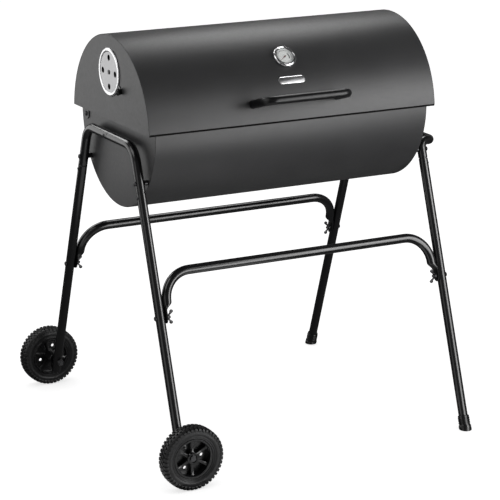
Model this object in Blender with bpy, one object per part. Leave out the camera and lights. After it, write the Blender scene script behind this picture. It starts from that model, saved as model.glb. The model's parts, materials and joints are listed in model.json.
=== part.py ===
"""Barrel charcoal grill: a half-drum bowl and hinged half-drum lid on a tube stand with two wheels.

The barrel lies along X, the front of the grill faces -Y and the floor is Z = 0. Units are metres.
Every piece is drawn in the grill's own coordinates, centred between the two barrel ends.
"""

import math

import bmesh
import bpy
from mathutils import Quaternion, Vector

# Drum
SHEET = 0.0012
FIT = 0.0003
RIM_HEIGHT = 0.76
BOWL_LENGTH = 0.7095
BOWL_RADIUS = 0.2035
LID_OVERHANG = 0.01875
LID_LAP = 0.007
LID_CENTRE_DROP = 0.0124
RIM_LAP = 0.004
BOWL_LIP = 0.014

# Lid hinge
HINGE_INSET = 0.0355
HINGE_DROP = 0.018
HINGE_GAP = 0.0005
STRAP_THICKNESS = 0.002
EAR_RADIUS = 0.013
STRAP_WEB_RISE = 0.006
STRAP_REACH = 0.035
HINGE_BOLT_RADIUS = 0.003

# Lid handle
HANDLE_SPAN = 0.217
HANDLE_ANGLE = 16.6
HANDLE_STANDOFF = 0.07
HANDLE_BAR_RADIUS = 0.01
HANDLE_BEND = 0.024

# Thermometer
THERMOMETER_ANGLE = 45.5
CASE_RADIUS = 0.028
CASE_DEPTH = 0.008
BEZEL_WIDTH = 0.0035
CASE_FLOOR = 0.0015
STEM_RADIUS = 0.0035
STEM_LENGTH = 0.055
DIAL_THICKNESS = 0.001
LENS_THICKNESS = 0.0015
LENS_SINK = 0.0015
NEEDLE_LENGTH = 0.0185
NEEDLE_TAIL = 0.006
NEEDLE_REST_ANGLE = 125.0
NEEDLE_HUB = 0.0024
NEEDLE_PIVOT = 0.0009
NEEDLE_THICKNESS = 0.0006
STEM_NUT_RADIUS = 0.008
STEM_NUT_HEIGHT = 0.005

# Badge plate
BADGE_ANGLE = 29.7
BADGE_WIDTH = 0.07
BADGE_HEIGHT = 0.0175
BADGE_THICKNESS = 0.0016
BADGE_RIM = 0.0018
BADGE_RECESS = 0.0006

# Lid vents
VENT_HEIGHT = 0.112
VENT_RADIUS = 0.056
VENT_THICKNESS = 0.0012
VENT_RIM = 0.004
VENT_RIM_HEIGHT = 0.002
VENT_HOLES = 4
VENT_HOLE_RADIUS = 0.007
VENT_HOLE_CIRCLE = 0.0335
VENT_RIVET_RADIUS = 0.003
VENT_RIVET_HEAD = 0.0055
VENT_EAR_RADIUS = 0.0065
VENT_KNOB_CIRCLE = 0.071
VENT_KNOB_ANGLE = -29.0
VENT_KNOB_RADIUS = 0.0085
VENT_KNOB_NECK = 0.003
VENT_KNOB_LENGTH = 0.012
KNOB_FOOT = 0.8
KNOB_SWELL_LOW = 0.35
KNOB_SWELL_HIGH = 0.7
KNOB_TIP = 0.6

# Stand tubes
TUBE_RADIUS = 0.011
TUBE_WALL = 0.0012
TUBE_SIDES = 10
LEG_GAP = 0.01925
LEG_TOP_Y = 0.1158
LEG_SPLAY = 0.3443
TOP_TUBE_DROP = 0.037
TOP_TUBE_BEND = 0.05
JOINT_DROP = 0.136
JOINT_INSERT = 0.035
JOINT_STEP = 0.0012
CARRY_BEND_DROP = 0.096
CARRY_REACH = 0.038
CARRY_RISE = -0.004
CARRY_INSET = 0.0116
CARRY_BEND = 0.0195

# Bolts that hold the stand to the bowl
BOWL_BOLT_DROP = 0.116
BOWL_BOLT_RADIUS = 0.003
BOWL_BOLT_HEAD = 0.0055
BOWL_BOLT_HEAD_HEIGHT = 0.003
BOWL_NUT_RADIUS = 0.0055
BOWL_NUT_HEIGHT = 0.004
SPACER_RADIUS = 0.006

# Stretchers
STRETCHER_HEIGHT = 0.4485
STRETCHER_BEND = 0.065
STRETCHER_FLAT = 0.005
STRETCHER_FLAT_WIDTH = 0.026
STRETCHER_END_BELOW = 0.013
STRETCHER_FLAT_LENGTH = 0.026
STRETCHER_SQUEEZE = 0.018
WING_BOLT_DROP = 0.094
WING_BOLT_RADIUS = 0.003
WING_BOLT_HEAD = 0.0055
WING_BOLT_HEAD_HEIGHT = 0.003
WING_NUT_RADIUS = 0.0065
WING_NUT_TOP = 0.0052
WING_NUT_HEIGHT = 0.006
WING_SPAN = 0.034
WING_REACH = 0.011
WING_THICKNESS = 0.0028
WING_WIDTH = 0.008

# Wheels and feet
WHEEL_RADIUS = 0.074
WHEEL_OFFSET = 0.056
TYRE_WIDTH = 0.036
RIM_OUTER = 0.047
RIM_WALL = 0.006
RIM_WELL = 0.008
RIM_WIDTH = 0.029
HUB_RADIUS = 0.0135
HUB_FACE = 0.012
HUB_STANDOFF = 0.0175
HUB_RECESS_RADIUS = 0.0098
HUB_RECESS = 0.005
SPOKES = 6
SPOKE_ROOT = 0.009
SPOKE_TIP = 0.008
SPOKE_DEPTH = 0.018
SPOKE_SET = -0.003
WEB_THICKNESS = 0.003
WEB_SET = -0.0065
WEB_HOLES = 3
WEB_HOLE_RADIUS = 0.0042
WEB_HOLE_CIRCLE = 0.0275
BACK_WHEEL_TURN = -75.0
TREAD_LUGS = 16
TREAD_DEPTH = 0.0022
TYRE_SWELL = 0.45
SHOULDER_DROP = 0.0035
SHOULDER_SPREAD = 0.94
CROWN_SPREAD = 0.55
AXLE_RADIUS = 0.005
AXLE_HEAD = 0.008
AXLE_HEAD_HEIGHT = 0.005
AXLE_NUT_RADIUS = 0.0085
AXLE_NUT_HEIGHT = 0.006
RUNNING_FIT = 0.0003
LEG_END_HEIGHT = 0.045
FOOT_WALL = 0.0022
FOOT_FLARE = 0.0016
FOOT_LENGTH = 0.034
FOOT_FLOOR = 0.009

# Grills
GRILL_GAP = 0.012
GRILL_END_ROOM = 0.0225
GRILL_DEPTH = 0.392
GRILL_WIRE = 0.004
GRILL_BARS = 14
GRILL_CROSS_BARS = 3
WIRE_WELD = 0.001
CROSS_BAR_INSET = 0.028
GRATE_DEPTH = 0.28
GRATE_END_ROOM = 0.04475
GRATE_BARS = 11
GRATE_CROSS_BARS = 3
GRATE_WIRE = 0.005

ARC_STEPS = 36
BEND_STEPS = 4
BOLT_SIDES = 12
ROUND_SIDES = 20
HOLE_SIDES = 12
CUT_MARGIN = 0.01
HEAD_CROWN = 0.6
SMOOTH_ANGLE = 35.0

X_AXIS = Vector((1, 0, 0))
Y_AXIS = Vector((0, 1, 0))
Z_AXIS = Vector((0, 0, 1))

LID_LENGTH = BOWL_LENGTH + 2 * LID_OVERHANG
LID_RADIUS = BOWL_RADIUS + LID_LAP
LID_CENTRE_Z = RIM_HEIGHT - LID_CENTRE_DROP
BOWL_TOP = RIM_HEIGHT + RIM_LAP
HINGE_Y = LID_RADIUS - HINGE_INSET
HINGE_Z = RIM_HEIGHT - HINGE_DROP
VENT_Z = RIM_HEIGHT + VENT_HEIGHT
FACET_SAG = LID_RADIUS * (1 - math.cos(math.pi / 2 / ARC_STEPS))
LEG_X = BOWL_LENGTH / 2 + LEG_GAP
TOP_TUBE_HEIGHT = RIM_HEIGHT - TOP_TUBE_DROP
JOINT_HEIGHT = RIM_HEIGHT - JOINT_DROP
CARRY_BEND_HEIGHT = RIM_HEIGHT - CARRY_BEND_DROP
BOWL_BOLT_HEIGHT = RIM_HEIGHT - BOWL_BOLT_DROP
WING_BOLT_HEIGHT = STRETCHER_HEIGHT - WING_BOLT_DROP
GRATE_LENGTH = BOWL_LENGTH - 2 * GRATE_END_ROOM
LEG_DIRECTION = Vector((0, -LEG_SPLAY, -1)).normalized()
LEG_RISE = -LEG_DIRECTION.z
WHEEL_REACH = LEG_X + WHEEL_RADIUS
CARRY_END = LEG_X + CARRY_REACH + TUBE_RADIUS
CENTRE_SHIFT = (WHEEL_REACH - CARRY_END) / 2


def clear_scene():
    for obj in list(bpy.data.objects):
        bpy.data.objects.remove(obj, do_unlink=True)


def material(name, colour, roughness, metallic):
    made = bpy.data.materials.new(name)
    made.use_nodes = True
    shader = made.node_tree.nodes["Principled BSDF"]
    shader.inputs["Base Color"].default_value = (*colour, 1)
    shader.inputs["Roughness"].default_value = roughness
    shader.inputs["Metallic"].default_value = metallic
    return made


def pivot(name, position, parent=None):
    """An empty at a joint's axis, or at the middle of the stand."""
    empty = bpy.data.objects.new(name, None)
    bpy.context.scene.collection.objects.link(empty)
    empty["place"] = Vector(position)
    empty.parent = parent
    empty.location = Vector(position) - (Vector(parent["place"]) if parent else Vector())
    return empty


def add(name, mesh, finish, parent):
    """Makes a named piece from a mesh drawn in the grill's coordinates, carried by a pivot."""
    bmesh.ops.translate(mesh, verts=mesh.verts, vec=-Vector(parent["place"]))
    data = bpy.data.meshes.new(name)
    mesh.to_mesh(data)
    mesh.free()
    data.shade_smooth()
    data.set_sharp_from_angle(angle=math.radians(SMOOTH_ANGLE))
    data.materials.append(finish)
    piece = bpy.data.objects.new(name, data)
    bpy.context.scene.collection.objects.link(piece)
    piece.parent = parent
    return piece


def combine(piece, mesh, operation):
    """Cuts a mesh from a piece, or joins it on, and hides the helper."""
    name = f"{piece.name}_{operation.lower()}_{len(piece.modifiers)}"
    helper = add(name, mesh, piece.data.materials[0], GRILL)
    helper.hide_render = True
    helper.display_type = "WIRE"
    modifier = piece.modifiers.new(operation.title(), "BOOLEAN")
    modifier.operation = operation
    modifier.object = helper
    return piece


def sides_of(direction):
    """Two unit vectors square to a direction and to each other."""
    start = X_AXIS if abs(direction.x) < 0.9 else Y_AXIS
    across = direction.cross(start).normalized()
    return across, direction.cross(across).normalized()


def ring(centre, across, up, radius, sides, squash=1.0, hexagon=False):
    """Points round a circle, an ellipse or, with twelve sides, a hexagon of that corner radius."""
    points = []
    for step in range(sides):
        angle = 2 * math.pi * step / sides
        flat = math.cos(math.pi / 6) if hexagon and step % 2 else 1.0
        points.append(centre + (across * math.cos(angle) * squash + up * math.sin(angle)) * radius * flat)
    return points


def loft(rings, closed=False, mesh=None):
    """Skins rings of equally many points, capping the two ends or closing the loop."""
    mesh = mesh or bmesh.new()
    before = mesh.calc_volume(signed=True)
    loops = [[mesh.verts.new(point) for point in points] for points in rings]
    faces = []
    for first, second in zip(loops, loops[1:] + loops[:1] if closed else loops[1:]):
        for i in range(len(first)):
            j = (i + 1) % len(first)
            faces.append(mesh.faces.new((first[i], first[j], second[j], second[i])))
    if not closed:
        faces.append(mesh.faces.new(reversed(loops[0])))
        faces.append(mesh.faces.new(loops[-1]))
    if mesh.calc_volume(signed=True) < before:
        bmesh.ops.reverse_faces(mesh, faces=faces)
    return mesh


def turned(profile, base, direction, sides=ROUND_SIDES, hexagons=(), mesh=None):
    """A solid turned about an axis from (radius, height) points, capped at the first and the last."""
    across, up = sides_of(direction)
    rings = []
    for index, (radius, height) in enumerate(profile):
        rings.append(ring(base + direction * height, across, up, radius, sides, hexagon=index in hexagons))
    return loft(rings, mesh=mesh)


def turned_ring(profile, base, direction, sides=ROUND_SIDES, hexagons=()):
    """A ring turned about an axis from a closed outline of (radius, height) points."""
    across, up = sides_of(direction)
    rings = []
    for index, (radius, height) in enumerate(profile):
        rings.append(ring(base + direction * height, across, up, radius, sides, hexagon=index in hexagons))
    return loft(rings, closed=True)


def extruded(outline, depth):
    """A plate from an outline of points, thickened by a vector."""
    return loft([outline, [point + depth for point in outline]])


def block(low, high, mesh=None):
    corners = [(low[0], low[1]), (high[0], low[1]), (high[0], high[1]), (low[0], high[1])]
    return loft([[Vector((x, y, z)) for x, y in corners] for z in (low[2], high[2])], mesh=mesh)


def rod(start, end, radius, sides=HOLE_SIDES, mesh=None):
    direction = (end - start).normalized()
    return turned([(radius, 0), (radius, (end - start).length)], start, direction, sides, mesh=mesh)


def rounded_path(corners, radii):
    """A polyline with each inner corner replaced by an arc."""
    path = [corners[0]]
    for before, corner, after, radius in zip(corners, corners[1:], corners[2:], radii):
        back = (before - corner).normalized()
        ahead = (after - corner).normalized()
        half = back.angle(ahead) / 2
        centre = corner + (back + ahead).normalized() * radius / math.sin(half)
        start = corner + back * radius / math.tan(half) - centre
        axis = back.cross(ahead).normalized()
        for step in range(BEND_STEPS + 1):
            turn = Quaternion(axis, -(math.pi - 2 * half) * step / BEND_STEPS)
            path.append(centre + turn @ start)
    path.append(corners[-1])
    return path


def path_tangents(path):
    """The direction of a path at each of its points."""
    ways = [(b - a).normalized() for a, b in zip(path, path[1:])]
    return [ways[0]] + [(a + b).normalized() for a, b in zip(ways, ways[1:])] + [ways[-1]]


def path_frames(path):
    """Two side vectors at each point of a path, without twist."""
    tangents = path_tangents(path)
    across, _ = sides_of(tangents[0])
    frames = []
    for last, tangent in zip(tangents[:1] + tangents, tangents):
        across = last.rotation_difference(tangent) @ across
        frames.append((across, tangent.cross(across)))
    return frames


def tube(path, radii):
    """A hollow tube along a path, open at both ends."""
    outer = []
    inner = []
    for point, (across, up), radius in zip(path, path_frames(path), radii):
        outer.append(ring(point, across, up, radius, TUBE_SIDES))
        inner.append(ring(point, across, up, radius - TUBE_WALL, TUBE_SIDES))
    return loft(outer + inner[::-1], closed=True)


def bar(path, radius, sides=TUBE_SIDES):
    """A solid round bar along a path."""
    return loft([ring(point, *frame, radius, sides) for point, frame in zip(path, path_frames(path))])


def arc_points(radius, centre_z, start, end, steps):
    """Points (y, z) on an arc; angles run from the front through the top, in degrees."""
    points = []
    for step in range(steps + 1):
        angle = math.radians(start + (end - start) * step / steps)
        points.append((-radius * math.cos(angle), centre_z + radius * math.sin(angle)))
    return points


def sheet(outer, inner, length):
    """A bent sheet along X from the (y, z) points of its two faces."""
    rings = []
    for (outer_y, outer_z), (inner_y, inner_z) in zip(outer, inner):
        rings.append([
            Vector((-length / 2, outer_y, outer_z)),
            Vector((length / 2, outer_y, outer_z)),
            Vector((length / 2, inner_y, inner_z)),
            Vector((-length / 2, inner_y, inner_z)),
        ])
    return loft(rings)


def plate(points, side, outer_x, thickness=SHEET):
    """A flat plate across X whose outer face is at outer_x on one side of the grill."""
    outline = [Vector((side * outer_x, y, z)) for y, z in points]
    return extruded(outline, Vector((-side * thickness, 0, 0)))


def across_x(radius, y, z, side, inner_x, outer_x, sides=HOLE_SIDES):
    return rod(Vector((side * inner_x, y, z)), Vector((side * outer_x, y, z)), radius, sides)


def leg_point(side, face, height):
    """A point on a leg's axis. side is -1 left or 1 right, face is -1 front or 1 back."""
    return Vector((side * LEG_X, face * (LEG_TOP_Y + LEG_SPLAY * (RIM_HEIGHT - height)), height))


def leg_way(face):
    """The direction down a leg."""
    return Vector((0, -face * LEG_DIRECTION.y, LEG_DIRECTION.z))


def lid_frame(angle):
    """The point on the lid's outer face at an angle above the front, and its outward normal."""
    turn = math.radians(angle)
    normal = Vector((0, -math.cos(turn), math.sin(turn)))
    return Vector((0, 0, LID_CENTRE_Z)) + normal * LID_RADIUS, normal


def corner_name(side, face):
    return f"{'front' if face < 0 else 'back'}_{'left' if side < 0 else 'right'}"


CORNERS = [(side, face) for side in (-1, 1) for face in (-1, 1)]
SIDES = ((-1, "left"), (1, "right"))


def make_bowl():
    inner_radius = BOWL_RADIUS - SHEET
    outer = arc_points(BOWL_RADIUS, RIM_HEIGHT, 0, -180, ARC_STEPS)
    inner = arc_points(inner_radius, RIM_HEIGHT, 0, -180, ARC_STEPS)
    lip = BOWL_RADIUS - BOWL_LIP
    outer = [(-lip, BOWL_TOP), (-BOWL_RADIUS, BOWL_TOP)] + outer + [(BOWL_RADIUS, BOWL_TOP), (lip, BOWL_TOP)]
    under = BOWL_TOP - SHEET
    inner = [(-lip, under), (-inner_radius, under)] + inner + [(inner_radius, under), (lip, under)]
    add("bowl_shell", sheet(outer, inner, BOWL_LENGTH), DRUM_PAINT, GRILL)

    end_radius = inner_radius - FIT
    end_top = under - FIT
    curve = arc_points(end_radius, RIM_HEIGHT, 0, -180, ARC_STEPS)
    outline = [(-end_radius, end_top)] + curve + [(end_radius, end_top)]
    for side, word in SIDES:
        end = add(f"bowl_end_{word}", plate(outline, side, BOWL_LENGTH / 2), DRUM_PAINT, GRILL)
        low = BOWL_LENGTH / 2 - CUT_MARGIN
        high = BOWL_LENGTH / 2 + CUT_MARGIN
        combine(end, across_x(HINGE_BOLT_RADIUS + FIT, HINGE_Y, HINGE_Z, side, low, high), "DIFFERENCE")
        for face in (-1, 1):
            y = leg_point(side, face, BOWL_BOLT_HEIGHT).y
            combine(end, across_x(BOWL_BOLT_RADIUS + FIT, y, BOWL_BOLT_HEIGHT, side, low, high), "DIFFERENCE")


def vent_points(radius):
    """Centres (y, z) of the vent's holes."""
    for index in range(VENT_HOLES):
        angle = 2 * math.pi * index / VENT_HOLES
        yield radius * math.cos(angle), VENT_Z + radius * math.sin(angle)


def make_lid():
    start = math.degrees(math.asin(LID_CENTRE_DROP / LID_RADIUS))
    outer = arc_points(LID_RADIUS, LID_CENTRE_Z, start, 180 - start, ARC_STEPS)
    inner_radius = LID_RADIUS - SHEET
    inner_start = math.degrees(math.asin(LID_CENTRE_DROP / inner_radius))
    inner = arc_points(inner_radius, LID_CENTRE_Z, inner_start, 180 - inner_start, ARC_STEPS)
    shell = add("lid_shell", sheet(outer, inner, LID_LENGTH), DRUM_PAINT, LID)
    point, normal = lid_frame(THERMOMETER_ANGLE)
    stem_hole = rod(point - normal * CUT_MARGIN, point + normal * CUT_MARGIN, STEM_RADIUS + FIT)
    combine(shell, stem_hole, "DIFFERENCE")

    end_radius = inner_radius - FIT
    end_start = math.degrees(math.asin(LID_CENTRE_DROP / end_radius))
    outline = arc_points(end_radius, LID_CENTRE_Z, end_start, 180 - end_start, ARC_STEPS)
    low = LID_LENGTH / 2 - CUT_MARGIN
    high = LID_LENGTH / 2 + CUT_MARGIN
    for side, word in SIDES:
        end = add(f"lid_end_{word}", plate(outline, side, LID_LENGTH / 2), DRUM_PAINT, LID)
        for y, z in vent_points(VENT_HOLE_CIRCLE):
            combine(end, across_x(VENT_HOLE_RADIUS, y, z, side, low, high), "DIFFERENCE")
        combine(end, across_x(VENT_RIVET_RADIUS + FIT, 0, VENT_Z, side, low, high), "DIFFERENCE")


def make_hinges():
    """Cranked straps that hang from the lid's ends, each turning on a bolt through the bowl's end."""
    upper_x = LID_LENGTH / 2 - SHEET - FIT
    lower_x = BOWL_LENGTH / 2 + HINGE_GAP
    web = RIM_HEIGHT + STRAP_WEB_RISE
    thick = STRAP_THICKNESS
    for side, word in SIDES:
        stations = [
            (upper_x, web + STRAP_REACH, upper_x - thick, web + STRAP_REACH, EAR_RADIUS),
            (upper_x, web, upper_x - thick, web + thick, EAR_RADIUS),
            (lower_x + thick, web, lower_x, web + thick, EAR_RADIUS),
        ]
        for step in range(BEND_STEPS + 1):
            turn = math.pi / 2 * step / (BEND_STEPS + 0.5)
            z = HINGE_Z - EAR_RADIUS * math.sin(turn)
            stations.append((lower_x + thick, z, lower_x, z, EAR_RADIUS * math.cos(turn)))
        rings = []
        for outer_x, outer_z, inner_x, inner_z, half in stations:
            rings.append([
                Vector((side * outer_x, HINGE_Y - half, outer_z)),
                Vector((side * outer_x, HINGE_Y + half, outer_z)),
                Vector((side * inner_x, HINGE_Y + half, inner_z)),
                Vector((side * inner_x, HINGE_Y - half, inner_z)),
            ])
        strap = add(f"hinge_strap_{word}", loft(rings), DRUM_PAINT, LID)
        bore = HINGE_BOLT_RADIUS + RUNNING_FIT
        low = lower_x - CUT_MARGIN
        combine(strap, across_x(bore, HINGE_Y, HINGE_Z, side, low, upper_x, ROUND_SIDES), "DIFFERENCE")

        head = BOWL_BOLT_HEAD
        nut = -(SHEET + HINGE_GAP + FIT)
        profile = [
            (BOWL_NUT_RADIUS, nut - BOWL_NUT_HEIGHT),
            (BOWL_NUT_RADIUS, nut),
            (HINGE_BOLT_RADIUS, nut),
            (HINGE_BOLT_RADIUS, thick + FIT),
            (head, thick + FIT),
            (head, thick + FIT + BOWL_BOLT_HEAD_HEIGHT / 2),
            (head * HEAD_CROWN, thick + FIT + BOWL_BOLT_HEAD_HEIGHT),
        ]
        base = Vector((side * lower_x, HINGE_Y, HINGE_Z))
        bolt = turned(profile, base, X_AXIS * side, BOLT_SIDES, hexagons=(0, 1))
        add(f"hinge_bolt_{word}", bolt, BLACK_STEEL, GRILL)


def make_handle():
    point, normal = lid_frame(HANDLE_ANGLE)
    reach = X_AXIS * HANDLE_SPAN / 2
    foot = point + normal * FIT
    grip = point + normal * HANDLE_STANDOFF
    path = rounded_path([foot - reach, grip - reach, grip + reach, foot + reach], [HANDLE_BEND] * 2)
    add("lid_handle", bar(path, HANDLE_BAR_RADIUS), TUBE_PAINT, LID)


def make_thermometer():
    point, normal = lid_frame(THERMOMETER_ANGLE)
    base = point + normal * FIT
    well = CASE_RADIUS - BEZEL_WIDTH
    profile = [
        (STEM_RADIUS, -STEM_LENGTH),
        (STEM_RADIUS, 0),
        (CASE_RADIUS, 0),
        (CASE_RADIUS, CASE_DEPTH - BEZEL_WIDTH / 2),
        (CASE_RADIUS - BEZEL_WIDTH / 2, CASE_DEPTH),
        (well, CASE_DEPTH - BEZEL_WIDTH / 4),
        (well, CASE_FLOOR),
    ]
    add("thermometer_case", turned(profile, base, normal), CHROME, LID)

    nut_top = -(SHEET + 2 * FIT + FACET_SAG)
    bore = STEM_RADIUS + FIT
    nut = [
        (STEM_NUT_RADIUS, nut_top),
        (STEM_NUT_RADIUS, nut_top - STEM_NUT_HEIGHT),
        (bore, nut_top - STEM_NUT_HEIGHT),
        (bore, nut_top),
    ]
    add("thermometer_nut", turned_ring(nut, base, normal, BOLT_SIDES, hexagons=(0, 1)), BLACK_STEEL, LID)

    face = well - FIT
    dial_low = CASE_FLOOR + FIT
    dial_high = dial_low + DIAL_THICKNESS
    hole = NEEDLE_PIVOT + RUNNING_FIT
    dial = [(face, dial_high), (face, dial_low), (hole, dial_low), (hole, dial_high)]
    add("thermometer_dial", turned_ring(dial, base, normal), DIAL_WHITE, LID)

    lens_high = CASE_DEPTH - LENS_SINK
    lens = [(face, lens_high - LENS_THICKNESS), (face, lens_high)]
    add("thermometer_lens", turned(lens, base, normal), CLEAR_GLASS, LID)

    low = dial_high + FIT
    high = low + NEEDLE_THICKNESS
    hub = [(NEEDLE_PIVOT, dial_low), (NEEDLE_PIVOT, low), (NEEDLE_HUB, low), (NEEDLE_HUB, 2 * high - low)]
    needle = add("thermometer_needle", turned(hub, base, normal, BOLT_SIDES), NEEDLE_RED, NEEDLE)
    along = Quaternion(normal, math.radians(NEEDLE_REST_ANGLE)) @ normal.cross(X_AXIS)
    across = along.cross(normal)
    outline = [
        base + normal * low + along * NEEDLE_LENGTH,
        base + normal * low + across * NEEDLE_HUB / 2,
        base + normal * low - along * NEEDLE_TAIL,
        base + normal * low - across * NEEDLE_HUB / 2,
    ]
    combine(needle, extruded(outline, normal * NEEDLE_THICKNESS), "UNION")


def make_badge():
    """A bare pill-shaped plate with a raised rim."""
    point, normal = lid_frame(BADGE_ANGLE)
    up = normal.cross(X_AXIS)
    base = point + normal * FIT
    half = BADGE_HEIGHT / 2
    straight = BADGE_WIDTH / 2 - half

    def pill(inset, height):
        points = []
        for end in (1, -1):
            for step in range(BEND_STEPS + 1):
                turn = math.pi * (step / BEND_STEPS - 0.5)
                spot = X_AXIS * end * (straight + (half - inset) * math.cos(turn))
                points.append(base + spot + up * end * (half - inset) * math.sin(turn) + normal * height)
        return points

    rings = [pill(0, 0), pill(0, BADGE_THICKNESS), pill(BADGE_RIM, BADGE_THICKNESS)]
    rings.append(pill(BADGE_RIM, BADGE_THICKNESS - BADGE_RECESS))
    add("badge_plate", loft(rings), BADGE_METAL, LID)


def make_vents():
    for side, word in SIDES:
        vent = VENTS[side]
        out = X_AXIS * side
        base = Vector((side * (LID_LENGTH / 2 + FIT), 0, VENT_Z))
        inner = VENT_RADIUS - VENT_RIM
        profile = [
            (VENT_RADIUS, 0),
            (VENT_RADIUS, VENT_THICKNESS),
            (VENT_RADIUS - VENT_RIM / 2, VENT_THICKNESS + VENT_RIM_HEIGHT),
            (inner, VENT_THICKNESS),
        ]
        disc = add(f"vent_disc_{word}", turned(profile, base, out, 2 * ROUND_SIDES), VENT_METAL, vent)
        turn = math.radians(VENT_KNOB_ANGLE)
        knob_spot = Vector((0, -math.cos(turn), math.sin(turn)))
        tangent = out.cross(knob_spot)
        knob_centre = base + knob_spot * VENT_KNOB_CIRCLE
        ear = []
        for step in range(BEND_STEPS + 1):
            angle = math.pi * (step / BEND_STEPS - 0.5)
            offset = knob_spot * math.cos(angle) + tangent * math.sin(angle)
            ear.append(knob_centre + offset * VENT_EAR_RADIUS)
        root = base + knob_spot * (VENT_RADIUS - VENT_RIM / 2)
        ear += [root + tangent * VENT_EAR_RADIUS, root - tangent * VENT_EAR_RADIUS]
        combine(disc, extruded(ear, out * VENT_THICKNESS), "UNION")
        low = LID_LENGTH / 2 - CUT_MARGIN
        high = LID_LENGTH / 2 + CUT_MARGIN
        for y, z in vent_points(VENT_HOLE_CIRCLE):
            combine(disc, across_x(VENT_HOLE_RADIUS, y, z, side, low, high), "DIFFERENCE")
        combine(disc, across_x(VENT_RIVET_RADIUS + RUNNING_FIT, 0, VENT_Z, side, low, high), "DIFFERENCE")
        neck = rod(knob_centre - out * CUT_MARGIN, knob_centre + out * CUT_MARGIN, VENT_KNOB_NECK + FIT)
        combine(disc, neck, "DIFFERENCE")

        top = VENT_THICKNESS + FIT
        knob = [
            (VENT_KNOB_NECK, 0),
            (VENT_KNOB_NECK, top),
            (VENT_KNOB_RADIUS * KNOB_FOOT, top),
            (VENT_KNOB_RADIUS, top + VENT_KNOB_LENGTH * KNOB_SWELL_LOW),
            (VENT_KNOB_RADIUS, top + VENT_KNOB_LENGTH * KNOB_SWELL_HIGH),
            (VENT_KNOB_RADIUS * KNOB_TIP, top + VENT_KNOB_LENGTH),
        ]
        add(f"vent_knob_{word}", turned(knob, knob_centre, out, BOLT_SIDES), BLACK_PLASTIC, vent)

        rear = -(SHEET + 2 * FIT)
        rivet = [
            (VENT_RIVET_HEAD, rear - BOWL_BOLT_HEAD_HEIGHT / 2),
            (VENT_RIVET_HEAD, rear),
            (VENT_RIVET_RADIUS, rear),
            (VENT_RIVET_RADIUS, top),
            (VENT_RIVET_HEAD, top),
            (VENT_RIVET_HEAD * HEAD_CROWN, top + BOWL_BOLT_HEAD_HEIGHT / 2),
        ]
        add(f"vent_rivet_{word}", turned(rivet, base, out, BOLT_SIDES), BLACK_STEEL, LID)


def joint_points(side, face):
    """The shoulder of a leg's plug joint and the end of its plug."""
    shoulder = leg_point(side, face, JOINT_HEIGHT)
    return shoulder, shoulder + leg_way(face) * JOINT_INSERT


def bolt_holes(piece, side, face, height, radius, span):
    """Drills a piece along X, square through the middle of a leg."""
    y = leg_point(side, face, height).y
    return combine(piece, across_x(radius, y, height, side, LEG_X - span, LEG_X + span), "DIFFERENCE")


def make_left_frame():
    """Two bent tubes that meet in a plug joint halfway along the left end of the bowl."""
    top = {}
    for face in (-1, 1):
        top[face] = leg_point(-1, face, TOP_TUBE_HEIGHT)
    middle = Vector((-LEG_X, 0, TOP_TUBE_HEIGHT))
    hole_span = TUBE_RADIUS + CUT_MARGIN

    shoulder, plug = joint_points(-1, -1)
    bend = rounded_path([shoulder, top[-1], middle], [TOP_TUBE_BEND])
    slim = TUBE_RADIUS - TUBE_WALL - FIT
    path = [plug, shoulder + leg_way(-1) * JOINT_STEP] + bend
    path += [middle + Y_AXIS * JOINT_STEP, middle + Y_AXIS * JOINT_INSERT]
    radii = [slim] * 2 + [TUBE_RADIUS] * len(bend) + [slim] * 2
    front = add("upper_tube_front_left", tube(path, radii), TUBE_PAINT, GRILL)
    bolt_holes(front, -1, -1, BOWL_BOLT_HEIGHT, BOWL_BOLT_RADIUS + FIT, hole_span)

    shoulder, plug = joint_points(-1, 1)
    start = middle + Y_AXIS * (JOINT_STEP + FIT)
    bend = rounded_path([shoulder, top[1], start], [TOP_TUBE_BEND])
    path = [plug, shoulder + leg_way(1) * JOINT_STEP] + bend
    radii = [slim] * 2 + [TUBE_RADIUS] * len(bend)
    back = add("upper_tube_back_left", tube(path, radii), TUBE_PAINT, GRILL)
    bolt_holes(back, -1, 1, BOWL_BOLT_HEIGHT, BOWL_BOLT_RADIUS + FIT, hole_span)


def make_right_frame():
    """One tube that joins the right legs and stands out to the right as a carrying handle."""
    corners = []
    for face in (-1, 1):
        shoulder, _ = joint_points(1, face)
        bend = leg_point(1, face, CARRY_BEND_HEIGHT)
        out = bend + Vector((CARRY_REACH, -face * CARRY_INSET, CARRY_RISE))
        corners.append([shoulder, bend, out])
    body = rounded_path(corners[0] + corners[1][::-1], [CARRY_BEND] * 4)
    slim = TUBE_RADIUS - TUBE_WALL - FIT
    path = body
    radii = [TUBE_RADIUS] * len(body)
    for face in (-1, 1):
        shoulder, plug = joint_points(1, face)
        ends = [plug, shoulder + leg_way(face) * JOINT_STEP]
        path = ends + path if face < 0 else path + ends[::-1]
        radii = [slim] * 2 + radii if face < 0 else radii + [slim] * 2
    carry = add("carry_handle_tube", tube(path, radii), TUBE_PAINT, GRILL)
    for face in (-1, 1):
        bolt_holes(carry, 1, face, BOWL_BOLT_HEIGHT, BOWL_BOLT_RADIUS + FIT, TUBE_RADIUS + CUT_MARGIN)


def tube_shift(side, height):
    """How far the right tube has bent outwards at a height near the bowl's bolts."""
    if side < 0:
        return 0.0
    start = leg_point(1, -1, CARRY_BEND_HEIGHT) + leg_way(-1) * CARRY_BEND
    rise = max(0.0, (height - start.z) / LEG_RISE)
    return CARRY_BEND - math.sqrt(max(0.0, CARRY_BEND**2 - rise**2))


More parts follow.
